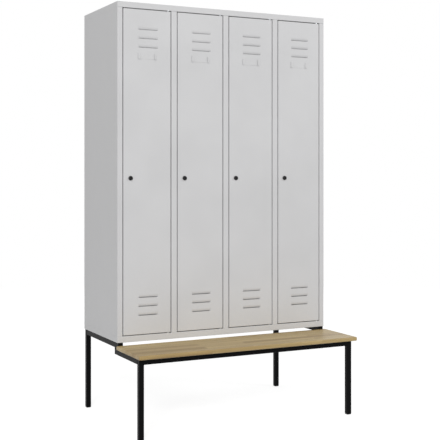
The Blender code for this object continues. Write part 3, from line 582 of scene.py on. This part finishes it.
def lock_place(number):
    """Middle of a lock on the door's face."""
    middle = middle_of("lock_cylinder_" + number)
    return Vector((middle.x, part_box("door_" + number)[0].y, middle.z))


def hinge_place(number):
    joint = next(joint for joint in frame["joints"] if joint["name"] == "door_hinge_" + number)
    return Vector(joint["pos_m"])


# Carcass

def strike_slot(number, wall_x):
    """Cutter for the slot that the lock cam of a door swings up into."""
    cam_low, cam_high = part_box("lock_cam_" + number)
    lock = lock_place(number)
    to_wall = lock.x - wall_x
    swing = math.hypot(lock.z - cam_low.z, CAM_TIP_WIDTH / 2)
    low = lock.z - math.sqrt(swing ** 2 - to_wall ** 2) - STRIKE_PLAY
    high = cam_high.z + STRIKE_PLAY
    return cutter_from(box_shape((wall_x - SHEET - OVERRUN, cam_low.y - STRIKE_PLAY, low),
                                 (wall_x + OVERRUN, cam_high.y + STRIKE_PLAY, high)))


def show_side_panels():
    for side_name, side in SIDES:
        name = "side_panel_" + side_name
        low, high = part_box(name)
        stile, outer = (high.x, low.x) if side < 0 else (low.x, high.x)
        flange = outer - side * REAR_FLANGE
        outline = [(stile, low.y + POST_DEPTH), (stile, low.y), (outer, low.y), (outer, high.y),
                   (flange, high.y)]
        if side > 0:
            outline.reverse()
        shape = folded_shape(outline, low.z, high.z, FOLD_RADIUS)
        cutters = [strike_slot("1", stile)] if side < 0 else []
        show(name + "_folded", shape, GREY_COAT, ROOT, name, sheet=SHEET, cutters=cutters)


def show_posts():
    for post, next_door in zip(DOOR_NUMBERS, DOOR_NUMBERS[1:]):
        name = "door_post_" + post
        low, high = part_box(name)
        shape = box_shape(low, high)
        ends = [face for face in shape.faces if abs(face.normal.z) > FACING]
        upright = edges_along(shape, 2)
        bmesh.ops.delete(shape, geom=ends, context="FACES_ONLY")
        round_edges(shape, upright, FOLD_RADIUS)
        show(name + "_folded", shape, GREY_COAT, ROOT, name, sheet=SHEET,
             cutters=[strike_slot(next_door, high.x)])


def show_top_panel():
    low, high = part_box("top_panel")
    carcass_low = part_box("side_panel_left")[1].z + TOUCH
    shape = box_shape((low.x, low.y, carcass_low), high)
    floor = [face for face in shape.faces if looks(face, 2, -1)]
    cut_line = low.y + POST_DEPTH
    around = floor + list(floor[0].edges) + list(floor[0].verts)
    bmesh.ops.bisect_plane(shape, geom=around, dist=MERGE, plane_co=(0, cut_line, 0),
                           plane_no=(0, 1, 0))
    shape.normal_update()
    open_part = [face for face in shape.faces
                 if looks(face, 2, -1) and face.calc_center_median().y > cut_line]
    bmesh.ops.delete(shape, geom=open_part, context="FACES")
    halfway = (carcass_low + high.z) / 2
    front_low = [edge for edge in shape.edges if along(edge, 0) and len(edge.link_faces) == 2
                 and all(vert.co.y < cut_line and vert.co.z < halfway for vert in edge.verts)]
    upright = edges_along(shape, 2)
    rim = [edge for edge in shape.edges if not along(edge, 2)
           and all(vert.co.z > halfway for vert in edge.verts)]
    round_edges(shape, front_low + upright + rim, FOLD_RADIUS)
    show("top_panel_folded", shape, GREY_COAT, ROOT, "top_panel", sheet=SHEET)


def show_bottom_panel():
    low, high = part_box("bottom_panel")
    floor_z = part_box("side_panel_left")[0].z - TOUCH
    shape = box_shape(low, (high.x, high.y, floor_z))
    under = [face for face in shape.faces if looks(face, 2, -1)]
    bmesh.ops.inset_region(shape, faces=under, thickness=BOTTOM_FLANGE)
    bmesh.ops.delete(shape, geom=under, context="FACES")
    halfway = (low.z + floor_z) / 2
    outer = high.x - BOTTOM_FLANGE / 2
    upright = edges_along(shape, 2)
    rim = [edge for edge in shape.edges if len(edge.link_faces) == 2
           and (along(edge, 0) or along(edge, 1))
           and all(vert.co.z < halfway and abs(vert.co.x) > outer for vert in edge.verts)]
    front_top = [edge for edge in shape.edges if along(edge, 0)
                 and all(vert.co.y < 0 and vert.co.z > halfway for vert in edge.verts)]
    round_edges(shape, upright + rim + front_top, FOLD_RADIUS)
    holes = []
    for bolt in BOLTS:
        spot = (middle_of(bolt).x, middle_of(bolt).y, low.z)
        hole = rod(BOLT_HOLE_RADIUS, -OVERRUN, OVERRUN, spot, UP, HOLE_STEPS)
        holes.append(cutter_from(hole))
    show("bottom_panel_folded", shape, GREY_COAT, ROOT, "bottom_panel", sheet=SHEET, cutters=holes)


def show_pins_and_tabs():
    """Zinc-plated hinge pins riveted into sill and fascia, and the tabs that stop the doors."""
    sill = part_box("side_panel_left")[0].z - TOUCH
    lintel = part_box("side_panel_left")[1].z + TOUCH
    for seat, up, where in ((sill, 1, "low"), (lintel, -1, "high")):
        for number in DOOR_NUMBERS:
            door_low, door_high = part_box("door_" + number)
            gap = (door_low.z - seat) if up > 0 else (seat - door_high.z)
            hinge = hinge_place(number)
            collar = gap - TOUCH
            tip = gap + SHEET + PIN_REACH
            profile = [(0, tip), (PIN_RADIUS - PIN_CHAMFER, tip), (PIN_RADIUS, tip - PIN_CHAMFER),
                       (PIN_RADIUS, collar), (PIN_COLLAR_RADIUS - PIN_CHAMFER, collar),
                       (PIN_COLLAR_RADIUS, collar - PIN_CHAMFER), (PIN_COLLAR_RADIUS, 0), (0, 0)]
            shape = turned_shape(profile, (hinge.x, hinge.y, seat), (0, 0, up), steps=PIN_STEPS)
            show("hinge_pin_" + where + "_" + number, shape, ZINC, ROOT)
            opening = door_low.x - DOOR_GAP_LOCK
            near = door_high.y + TOUCH
            ends = sorted((seat, seat + up * TAB_HEIGHT))
            tab = box_shape((opening + TAB_INSET - TAB_WIDTH / 2, near, ends[0]),
                            (opening + TAB_INSET + TAB_WIDTH / 2, near + TAB_SHEET, ends[1]))
            corners = [edge for edge in tab.edges if along(edge, 1)
                       and all((vert.co.z - seat) * up > TAB_SHEET for vert in edge.verts)]
            round_edges(tab, corners, TAB_CORNER)
            show("stop_tab_" + where + "_" + number, tab, GREY_COAT, ROOT)


# Doors

def louvre_heights(low, high):
    lower = [low + LOUVRE_FROM_BOTTOM + number * LOUVRE_PITCH for number in range(LOUVRES)]
    upper = [high - LOUVRE_FROM_TOP - number * LOUVRE_PITCH for number in range(LOUVRES)]
    return lower + sorted(upper)


def press_louvre(shape, left, right, slit, face_y):
    """Press one louvre inwards: a curved hood, flush at its top, with a slit at its lower edge."""
    rows = []
    for step in range(LOUVRE_STEPS + 1):
        turn = math.pi / 2 * step / LOUVRE_STEPS
        sunk = 1 - math.cos(turn)
        y = face_y + LOUVRE_DEPTH * sunk
        z = slit + LOUVRE_HEIGHT * (1 - math.sin(turn))
        taper = LOUVRE_TAPER * sunk
        rows.append((shape.verts.new((left + taper, y, z)),
                     shape.verts.new((right - taper, y, z))))
    for upper, lower in zip(rows, rows[1:]):
        shape.faces.new((upper[0], lower[0], lower[1], upper[1]))
    for end, x in ((0, left), (1, right)):
        corner = shape.verts.new((x, face_y, slit))
        for upper, lower in zip(rows, rows[1:]):
            pair = (lower[end], upper[end]) if end == 0 else (upper[end], lower[end])
            shape.faces.new((corner, *pair))


def door_shape(low, high):
    """Door pan with folded sides, an inner rim and pressed louvres."""
    face_y = low.y
    shape = box_shape(low, high)
    inside = [face for face in shape.faces if looks(face, 1, 1)]
    bmesh.ops.inset_region(shape, faces=inside, thickness=DOOR_RETURN)
    bmesh.ops.delete(shape, geom=inside, context="FACES")
    folds = [edge for edge in shape.edges if len(edge.link_faces) == 2
             and (along(edge, 0) or along(edge, 1) or along(edge, 2))]
    round_edges(shape, folds, FOLD_RADIUS)
    left = (low.x + high.x - LOUVRE_LENGTH) / 2 + LOUVRE_SHIFT
    right = left + LOUVRE_LENGTH
    heights = louvre_heights(low.z, high.z)
    lines = [((left, 0, 0), SIDEWAYS), ((right, 0, 0), SIDEWAYS)]
    for slit in heights:
        lines.append(((0, 0, slit), UP))
        lines.append(((0, 0, slit + LOUVRE_HEIGHT), UP))
    for point, normal in lines:
        shape.normal_update()
        front = [face for face in shape.faces if looks(face, 1, -1)
                 and abs(face.calc_center_median().y - face_y) < MERGE]
        around = set(front)
        for face in front:
            around.update(face.edges)
            around.update(face.verts)
        bmesh.ops.bisect_plane(shape, geom=list(around), dist=MERGE, plane_co=point,
                               plane_no=normal)
    shape.normal_update()
    for slit in heights:
        pressed = [face for face in shape.faces if looks(face, 1, -1)
                   and left < face.calc_center_median().x < right
                   and slit < face.calc_center_median().z < slit + LOUVRE_HEIGHT]
        bmesh.ops.delete(shape, geom=pressed, context="FACES_ONLY")
        press_louvre(shape, left, right, slit, face_y)
    bmesh.ops.remove_doubles(shape, verts=shape.verts, dist=MERGE)
    return shape


def show_door(number):
    low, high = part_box("door_" + number)
    hinge = hinge_place(number)
    lock = lock_place(number)
    foot = (hinge.x, hinge.y, 0)
    holes = [rod(PIN_RADIUS + TOUCH, end - OVERRUN, end + OVERRUN, foot, UP, HOLE_STEPS)
             for end in (low.z, high.z)]
    holes.append(rod(BARREL_RADIUS + TOUCH, -OVERRUN, OVERRUN, lock, OUTWARD))
    show("door_" + number + "_pan", door_shape(low, high), GREY_COAT, "leaf_" + number,
         "door_" + number, sheet=SHEET, cutters=[cutter_from(hole) for hole in holes])


def show_stiffener(number):
    name = "door_stiffener_" + number
    low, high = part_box(name)
    middle = (low.x + high.x) / 2
    edge = (high.x - low.x) / 2
    foot = edge - STIFFENER_FLANGE
    crown = foot - STIFFENER_SPREAD
    outline = [(-edge, low.y + SHEET), (-foot, low.y + SHEET), (-crown, high.y), (crown, high.y),
               (foot, low.y + SHEET), (edge, low.y + SHEET)]
    outline = [(middle + x, y) for x, y in outline]
    shape = folded_shape(outline, low.z, high.z, FOLD_RADIUS)
    show(name + "_folded", shape, GREY_COAT, "leaf_" + number, name, sheet=SHEET)


def show_label_holder(number):
    """A strip whose ends curl forwards over the card, held by two flat rivets."""
    name = "label_holder_" + number
    low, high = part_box(name)
    curl = (high.y - low.y) / 2
    left = [(low.x + LABEL_CURL, low.y)]
    left += arc(low.x + curl, low.y + curl, curl, 270, 90, CURL_STEPS)
    right = [(low.x + high.x - x, y) for x, y in reversed(left)]
    shape = folded_shape(left + right, low.z, high.z, 0)
    body = "leaf_" + number
    show(name + "_bent", shape, GREY_COAT, body, name, sheet=LABEL_SHEET)
    middle = (low + high) / 2
    for side_name, side in SIDES:
        spot = (middle.x + side * LABEL_RIVET_SPREAD, high.y - LABEL_SHEET, middle.z)
        rivet = turned_shape(RIVET_HEAD, spot, OUTWARD, steps=HOLE_STEPS)
        show("label_rivet_" + number + "_" + side_name, rivet, GREY_COAT, body)


def show_lock(number):
    """Housing with a rounded head and a ring nut, cylinder with key slot, and flat cam."""
    lock = lock_place(number)
    low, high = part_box("lock_housing_" + number)
    rise, deep = lock.y - low.y, lock.y - high.y
    bore = CYLINDER_RADIUS + CYLINDER_RUN
    crown = HEAD_RADIUS - HEAD_ROUND
    profile = [(bore, rise - BORE_CHAMFER_HEIGHT), (bore + BORE_CHAMFER_WIDTH, rise), (crown, rise)]
    profile += arc(crown, rise - HEAD_ROUND, HEAD_ROUND, 90, 0)[1:]
    profile += HEAD_LIP + [(BARREL_RADIUS, TOUCH)] + RING_NUT
    profile += [(BARREL_RADIUS, deep), (bore, deep)]
    show("lock_housing_" + number + "_turned", turned_shape(profile, lock, OUTWARD, closed=True),
         LOCK_BLACK, "leaf_" + number, "lock_housing_" + number)
    low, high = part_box("lock_cylinder_" + number)
    cam_low, cam_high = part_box("lock_cam_" + number)
    face, nut_end = lock.y - low.y, lock.y - high.y
    shoulder = lock.y - cam_low.y + TOUCH
    nut_start = lock.y - cam_high.y - TOUCH
    profile = [(0, face), (CYLINDER_RADIUS - CYLINDER_CHAMFER, face),
               (CYLINDER_RADIUS, face - CYLINDER_CHAMFER), (CYLINDER_RADIUS, shoulder),
               (STUD_RADIUS, shoulder), (STUD_RADIUS, nut_start),
               (CAM_NUT_RADIUS - CAM_NUT_NEAR_CHAMFER, nut_start),
               (CAM_NUT_RADIUS, nut_start - CAM_NUT_NEAR_CHAMFER),
               (CAM_NUT_RADIUS, nut_end + CAM_NUT_FAR_CHAMFER),
               (CAM_NUT_RADIUS - CAM_NUT_FAR_CHAMFER, nut_end), (0, nut_end)]
    half_width, half_length = KEY_SLOT_WIDTH / 2, KEY_SLOT_LENGTH / 2
    key_slot = cutter_from(box_shape(
        (lock.x - half_width, low.y - OVERRUN, lock.z - half_length),
        (lock.x + half_width, low.y + KEY_SLOT_DEPTH, lock.z + half_length)))
    show("lock_cylinder_" + number + "_turned", turned_shape(profile, lock, OUTWARD), LOCK_BLACK,
         "latch_" + number, "lock_cylinder_" + number, cutters=[key_slot])
    show_cam(number, lock, cam_low, cam_high)


def show_cam(number, lock, low, high):
    """Stamped cam: round at the cylinder, narrowed at the tip that swings behind the post."""
    half = (high.x - low.x) / 2
    tip = CAM_TIP_WIDTH / 2
    bottom = low.z
    outline = [(lock.x + x, lock.z + z) for x, z in arc(0, 0, half, 0, 180, CAM_STEPS)]
    outline += [(lock.x - half, bottom + half), (lock.x - tip, bottom), (lock.x + tip, bottom),
                (lock.x + half, bottom + half)]
    shape = plate_shape([(x, low.y, z) for x, z in outline], (0, high.y - low.y, 0))
    rims = [edge for edge in shape.edges if not along(edge, 1)]
    round_edges(shape, rims, CAM_EDGE_RADIUS, CAM_EDGE_STEPS)
    hole = rod(STUD_RADIUS + TOUCH, lock.y - high.y - OVERRUN, lock.y - low.y + OVERRUN, lock,
               OUTWARD, PIN_STEPS)
    show("lock_cam_" + number + "_stamped", shape, ZINC, "latch_" + number, "lock_cam_" + number,
         cutters=[cutter_from(hole)])


# Frame and seat

def show_side_frames():
    """Legs and side rails of each side, welded up; the high rail lies lapped over the low one."""
    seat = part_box("bench_rail_front")[1].z
    lap_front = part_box("side_panel_left")[0].y
    lap_end = lap_front + RAIL_LAP
    for name in ("side_frame_left", "side_frame_right"):
        low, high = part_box(name)
        front_inner, rear_inner = low.y + LEG_WIDTH, high.y - LEG_WIDTH
        low_under, high_under = seat - RAIL_HEIGHT, high.z - RAIL_HEIGHT
        outline = [(low.y, low.z), (low.y, seat), (lap_front, seat), (lap_front, high.z),
                   (high.y, high.z), (high.y, low.z), (rear_inner, low.z), (rear_inner, high_under),
                   (lap_end, high_under), (lap_end, low_under), (front_inner, low_under),
                   (front_inner, low.z)]
        shape = plate_shape([(low.x, y, z) for y, z in outline], (high.x - low.x, 0, 0))
        rims = [edge for edge in shape.edges if not along(edge, 0)]
        round_edges(shape, rims, TUBE_RADIUS)
        bores = [cutter_from(box_shape(
            (low.x + TUBE_WALL, y + TUBE_WALL, low.z - OVERRUN),
            (high.x - TUBE_WALL, y + LEG_WIDTH - TUBE_WALL, top - TUBE_WALL)))
            for y, top in ((low.y, seat), (rear_inner, high.z))]
        show(name + "_tubes", shape, BLACK_COAT, ROOT, name, cutters=bores)
        corner = TUBE_RADIUS
        runs = []
        for x in (low.x + BEAD_SUNK, high.x - BEAD_SUNK):
            runs += [((x, front_inner, low_under + corner), (x, front_inner, seat - corner)),
                     ((x, rear_inner, high_under + corner), (x, rear_inner, high.z - corner)),
                     ((x, lap_front + corner, seat), (x, lap_end - corner, seat)),
                     ((x, lap_front + corner, high_under), (x, lap_end - corner, high_under))]
        for y, z in ((front_inner, low_under), (rear_inner, high_under)):
            runs.append(((low.x + corner, y, z), (high.x - corner, y, z)))
        inner = high.x if low.x < 0 else low.x
        for rail in CROSS_RAILS:
            near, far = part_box(rail)
            runs.append(((inner, near.y + corner, near.z), (inner, far.y - corner, near.z)))
            for y in (near.y + BEAD_SUNK, far.y - BEAD_SUNK):
                if y + BEAD_RADIUS < high.y:
                    runs.append(((inner, y, near.z + corner), (inner, y, far.z - corner)))
        show_beads("weld_beads_" + name, runs)


def show_beads(name, runs):
    """Weld beads from one place to another: rows of ripples, painted over with the tubes."""
    rippled = []
    for start, end in runs:
        start, end = Vector(start), Vector(end)
        count = max(LEAST_RIPPLES, 2 * round((end - start).length / BEAD_RIPPLE))
        rippled.append([(start.lerp(end, number / count), 1.0 if number % 2 else BEAD_TROUGH)
                        for number in range(count + 1)])
    show_wires(name, rippled, BEAD_RADIUS, BEAD_ROUNDNESS, BLACK_COAT)


def show_wires(name, runs, radius, roundness, finish):
    """Round wires, each a row of places with the share of the radius that it has there."""
    curve = bpy.data.curves.new(name, "CURVE")
    curve.dimensions = "3D"
    curve.bevel_depth = radius
    curve.bevel_resolution = roundness
    curve.use_fill_caps = True
    curve.materials.append(finish)
    for run in runs:
        spline = curve.splines.new("POLY")
        spline.points.add(len(run) - 1)
        spline.use_smooth = True
        for point, (place, share) in zip(spline.points, run):
            point.co = (*place, 1)
            point.radius = share
    wires = put_in_scene(name, curve)
    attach(wires, ROOT)


def show_cross_rails():
    for name in CROSS_RAILS:
        low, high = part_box(name)
        shape = box_shape(low, high)
        corners = edges_along(shape, 0)
        round_edges(shape, corners, TUBE_RADIUS)
        show(name + "_tube", shape, BLACK_COAT, ROOT, name)


def show_foot_caps():
    """Feet pushed into the open legs: a pad with a rounded rim, and a plug inside the tube."""
    leg_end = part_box("side_frame_left")[0].z - TOUCH
    for corner in ("front_left", "front_right", "rear_left", "rear_right"):
        name = "foot_cap_" + corner
        low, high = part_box(name)
        shape = box_shape(low, (high.x, high.y, leg_end))
        rounded = [edge for edge in shape.edges
                   if along(edge, 2) or all(vert.co.z < low.z + MERGE for vert in edge.verts)]
        round_edges(shape, rounded, FOOT_RADIUS)
        shape.normal_update()
        top = [face for face in shape.faces if looks(face, 2, 1)]
        bmesh.ops.inset_region(shape, faces=top, thickness=TUBE_WALL + TOUCH)
        draw_out(shape, top, (0, 0, high.z - leg_end))
        show(name + "_moulded", shape, POLYAMIDE, ROOT, name)


def show_board():
    low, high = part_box("bench_board")
    shape = box_shape(low, high)
    upright = edges_along(shape, 2)
    round_edges(shape, upright, BOARD_EDGE_RADIUS, BOARD_STEPS)
    shape.normal_update()
    rims = [edge for edge in shape.edges
            if any(abs(face.normal.z) > FACING for face in edge.link_faces)]
    round_edges(shape, rims, BOARD_EDGE_RADIUS, BOARD_STEPS)
    show("bench_board_staves", shape, BEECH, ROOT, "bench_board")


def show_screws():
    """Wood screws driven up into the board, with a thread and a cross in the head."""
    for number in range(1, SEAT_SCREWS + 1):
        name = "seat_screw_" + str(number)
        low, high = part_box(name)
        x, y = middle_of(name).x, middle_of(name).y
        radius = (high.x - low.x) / 2
        length = high.z - low.z
        profile = [(0, length), (SCREW_SHANK * SCREW_TIP, length),
                   (SCREW_SHANK, length - SCREW_POINT)]
        turns = int((length - SCREW_HEAD_HEIGHT - 2 * SCREW_POINT) / SCREW_PITCH)
        for turn in range(turns):
            z = length - SCREW_POINT - turn * SCREW_PITCH
            profile += [(thread, z - place) for thread, place in SCREW_THREAD]
        profile += [(SCREW_SHANK, SCREW_HEAD_HEIGHT + SCREW_PLAIN),
                    (SCREW_SHANK, SCREW_HEAD_HEIGHT)]
        profile += [(radius * wide, SCREW_HEAD_HEIGHT * tall) for wide, tall in SCREW_HEAD]
        profile.append((0, 0))
        cross = [cutter_from(box_shape((x - reach_x, y - reach_y, low.z - OVERRUN),
                                       (x + reach_x, y + reach_y, low.z + CROSS_DEPTH)))
                 for reach_x, reach_y in ((CROSS_HALF_LENGTH, CROSS_HALF_WIDTH),
                                          (CROSS_HALF_WIDTH, CROSS_HALF_LENGTH))]
        shape = turned_shape(profile, (x, y, low.z), UP, steps=PIN_STEPS)
        show(name + "_turned", shape, ZINC, ROOT, name, cutters=cross)


def show_bolts():
    """Hexagon bolts up through rail and tray, each with its nut on the tray."""
    for name in BOLTS:
        low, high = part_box(name)
        spot = Vector((middle_of(name).x, middle_of(name).y, low.z))
        radius = (high.x - low.x) / 2
        length = high.z - low.z
        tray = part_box("bottom_panel")[0].z + SHEET + TOUCH - low.z
        profile = [(0, length), (BOLT_TIP, length), (BOLT_RADIUS, length - BOLT_CHAMFER)]
        for turn in range(BOLT_TURNS):
            z = length - BOLT_THREAD_FROM - turn * BOLT_PITCH
            profile += [(BOLT_RADIUS, z), (BOLT_CORE, z - BOLT_PITCH / 2)]
        profile += [(BOLT_RADIUS, length - BOLT_THREAD_TO), (BOLT_RADIUS, BOLT_HEAD_HEIGHT),
                    (0, BOLT_HEAD_HEIGHT)]
        shape = turned_shape(profile, spot, UP, steps=PIN_STEPS)
        for under, over in ((0, BOLT_HEAD_HEIGHT), (tray, tray + BOLT_NUT_HEIGHT)):
            add_shape(shape, rod(radius, under, over, spot, UP, HEXAGON))
        show(name + "_threaded", shape, ZINC, ROOT, name)


# Inside

def show_coat_rails():
    """Tubes with an end plate at each side, screwed to the walls of the compartment."""
    for number in DOOR_NUMBERS:
        name = "coat_rail_" + number
        low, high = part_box(name)
        middle = (low + high) / 2
        half = (high.x - low.x) / 2
        plate = (high.z - low.z) / 2
        neck = half - PLATE_THICKNESS
        half_profile = [(RAIL_BORE, half), (plate, half), (plate, neck + PLATE_CHAMFER),
                        (plate - PLATE_CHAMFER, neck), (COAT_TUBE + NECK_FILLET, neck),
                        (COAT_TUBE + NECK_FILLET_MIDDLE, neck - NECK_FILLET_MIDDLE),
                        (COAT_TUBE, neck - NECK_FILLET)]
        profile = half_profile + [(radius, -height) for radius, height in reversed(half_profile)]
        shape = turned_shape(profile, middle, SIDEWAYS, closed=True)
        show(name + "_turned", shape, ZINC, ROOT, name)
        for end, side in SIDES:
            for place, up in (("low", -1), ("high", 1)):
                spot = middle + Vector((side * neck, 0, up * RAIL_SCREW_SPREAD))
                screw = turned_shape(RAIL_SCREW_HEAD, spot, (-side, 0, 0), steps=RAIL_SCREW_STEPS)
                show("rail_screw_" + number + "_" + end + "_" + place, screw, ZINC, ROOT)


def show_coat_hooks():
    """Moulded double hooks that slide on each coat rail: a clip, and a prong to either side."""
    inner = COAT_TUBE + HOOK_SLACK
    outer = inner + HOOK_WALL
    band = [(inner, -HOOK_BAND / 2), (outer, -HOOK_BAND / 2), (outer, HOOK_BAND / 2),
            (inner, HOOK_BAND / 2)]
    neck = [(0, -outer + HOOK_WALL / 2)]
    bend = arc(HOOK_BEND, -outer - HOOK_NECK, HOOK_BEND, *HOOK_SWEEP, HOOK_STEPS)
    for number in DOOR_NUMBERS:
        rail = middle_of("coat_rail_" + number)
        clips = bmesh.new()
        prongs = []
        for hook in range(HOOKS):
            x = rail.x + (hook - (HOOKS - 1) / 2) * HOOK_PITCH
            middle = Vector((x, rail.y, rail.z - HOOK_SLACK + TOUCH))
            add_shape(clips, turned_shape(band, middle, SIDEWAYS, closed=True, steps=PIN_STEPS))
            for side, path in ((-1, neck + bend), (1, bend)):
                shares = [1.0] * (len(path) - len(HOOK_TIP)) + list(HOOK_TIP)
                prongs.append([(middle + Vector((0, side * y, z)), share)
                               for (y, z), share in zip(path, shares)])
        show("coat_hook_clips_" + number, clips, POLYAMIDE, ROOT)
        show_wires("coat_hook_prongs_" + number, prongs, PRONG_RADIUS, HOOK_ROUNDNESS, POLYAMIDE)


def coat_flat_nodes():
    """Flat sheets keep their solids and get the powder coat."""
    names = ["back_panel"] + ["divider_" + number for number in DOOR_NUMBERS[:-1]]
    names += ["hat_shelf_" + number for number in DOOR_NUMBERS]
    for name in names:
        for slot in frame["nodes"][name].material_slots:
            slot.material = GREY_COAT


# Stage, light and camera

WORLD_LIGHT = 0.42          # light from all round on the object; 1 would be white
FLOOR_COLOUR = "C8C8C8"
FLOOR_REACH = 30.0
NEAR_FLOOR, FAR_FLOOR = 2.5, 6.0
FLOOR_LIFT = 0.4            # share of plain white in the near floor that the camera sees
FLOOR_WHITE = 2.12          # with the lit floor's own share this comes to just over white
LAMP_TARGET = (0, 0, 1.6)
KEY_PLACE = (-6.2, -9.0, 5.8)
KEY_SIZE = (2.0, 2.0)
KEY_POWER = 604
FILL_PLACE = (7.0, -6.2, 4.6)
FILL_SIZE = (2.4, 2.0)
FILL_POWER = 222
CAMERA_PLACE = (-2.266, -4.547, 1.239)
CAMERA_TURN = -26.62        # degrees about Z; 0 looks along +Y
CAMERA_LENS = 79.25
CAMERA_SENSOR = 36
CAMERA_SHIFT = (0.0003, -0.1022)


def background_ray(tree):
    """1 for rays of the camera, mirrors and glass, 0 for rays that light the object."""
    path = add_node(tree, "ShaderNodeLightPath", {}, {})
    seen = add_node(tree, "ShaderNodeMath", {"operation": "MAXIMUM"},
                    {0: path["Is Camera Ray"], 1: path["Is Glossy Ray"]})[0]
    return add_node(tree, "ShaderNodeMath", {"operation": "MAXIMUM"},
                    {0: seen, 1: path["Is Transmission Ray"]})[0]


def make_world():
    world = bpy.data.worlds.new("white_studio")
    bpy.context.scene.world = world
    world.use_nodes = True
    tree = world.node_tree
    strength = add_node(tree, "ShaderNodeMapRange", {},
                        {"Value": background_ray(tree), "To Min": WORLD_LIGHT,
                         "To Max": 1.0})["Result"]
    background = tree.nodes["Background"]
    background.inputs["Color"].default_value = srgb("FFFFFF")
    tree.links.new(strength, background.inputs["Strength"])


def make_floor():
    """A matt floor, which the camera sees lifted to white; near the object it keeps the shadow."""
    shape = bmesh.new()
    bmesh.ops.create_grid(shape, x_segments=1, y_segments=1, size=FLOOR_REACH)
    floor = put_in_scene("studio_floor", mesh_of("studio_floor", shape))
    material = bpy.data.materials.new("white_studio_floor")
    material.use_nodes = True
    tree = material.node_tree
    shader = tree.nodes["Principled BSDF"]
    shader.inputs["Base Color"].default_value = srgb(FLOOR_COLOUR)
    shader.inputs["Roughness"].default_value = 0.9
    shader.inputs["Specular IOR Level"].default_value = 0.0
    place = add_node(tree, "ShaderNodeTexCoord", {}, {})["Object"]
    distance = add_node(tree, "ShaderNodeVectorMath", {"operation": "LENGTH"}, {0: place})["Value"]
    reach = {"Value": distance, "From Min": NEAR_FLOOR, "From Max": FAR_FLOOR}
    lift = add_node(tree, "ShaderNodeMapRange", {},
                    {**reach, "To Min": FLOOR_LIFT, "To Max": 1.0})["Result"]
    glow = add_node(tree, "ShaderNodeMapRange", {},
                    {**reach, "To Min": FLOOR_WHITE, "To Max": 1.0})["Result"]
    white = add_node(tree, "ShaderNodeEmission", {}, {"Color": srgb("FFFFFF"), "Strength": glow})
    share = add_node(tree, "ShaderNodeMath", {"operation": "MULTIPLY"},
                     {0: background_ray(tree), 1: lift})[0]
    lifted = add_node(tree, "ShaderNodeMixShader", {},
                      {0: share, 1: shader.outputs["BSDF"], 2: white["Emission"]})["Shader"]
    tree.links.new(lifted, tree.nodes["Material Output"].inputs["Surface"])
    floor.data.materials.append(material)


def make_lamp(name, place, size, power):
    light = bpy.data.lights.new(name, "AREA")
    light.shape = "RECTANGLE"
    light.size, light.size_y = size
    light.energy = power
    lamp = put_in_scene(name, light)
    lamp.location = place
    beam = Vector(LAMP_TARGET) - Vector(place)
    lamp.rotation_euler = beam.to_track_quat("-Z", "Y").to_euler()


def make_camera():
    camera_data = bpy.data.cameras.new("studio_camera")
    camera_data.sensor_width = CAMERA_SENSOR
    camera_data.lens = CAMERA_LENS
    camera_data.shift_x, camera_data.shift_y = CAMERA_SHIFT
    camera = put_in_scene("studio_camera", camera_data)
    camera.location = CAMERA_PLACE
    camera.rotation_euler = Euler((math.pi / 2, 0, math.radians(CAMERA_TURN)))
    bpy.context.scene.camera = camera


make_camera()
make_world()
make_floor()
make_lamp("key_lamp", KEY_PLACE, KEY_SIZE, KEY_POWER)
make_lamp("fill_lamp", FILL_PLACE, FILL_SIZE, FILL_POWER)

show_side_panels()
show_posts()
show_top_panel()
show_bottom_panel()
show_pins_and_tabs()
show_side_frames()
show_cross_rails()
show_foot_caps()
show_board()
show_screws()
show_bolts()
show_coat_rails()
show_coat_hooks()
coat_flat_nodes()
for door_number in DOOR_NUMBERS:
    show_door(door_number)
    show_stiffener(door_number)
    show_label_holder(door_number)
    show_lock(door_number)

bpy.context.scene.view_settings.view_transform = "Standard"
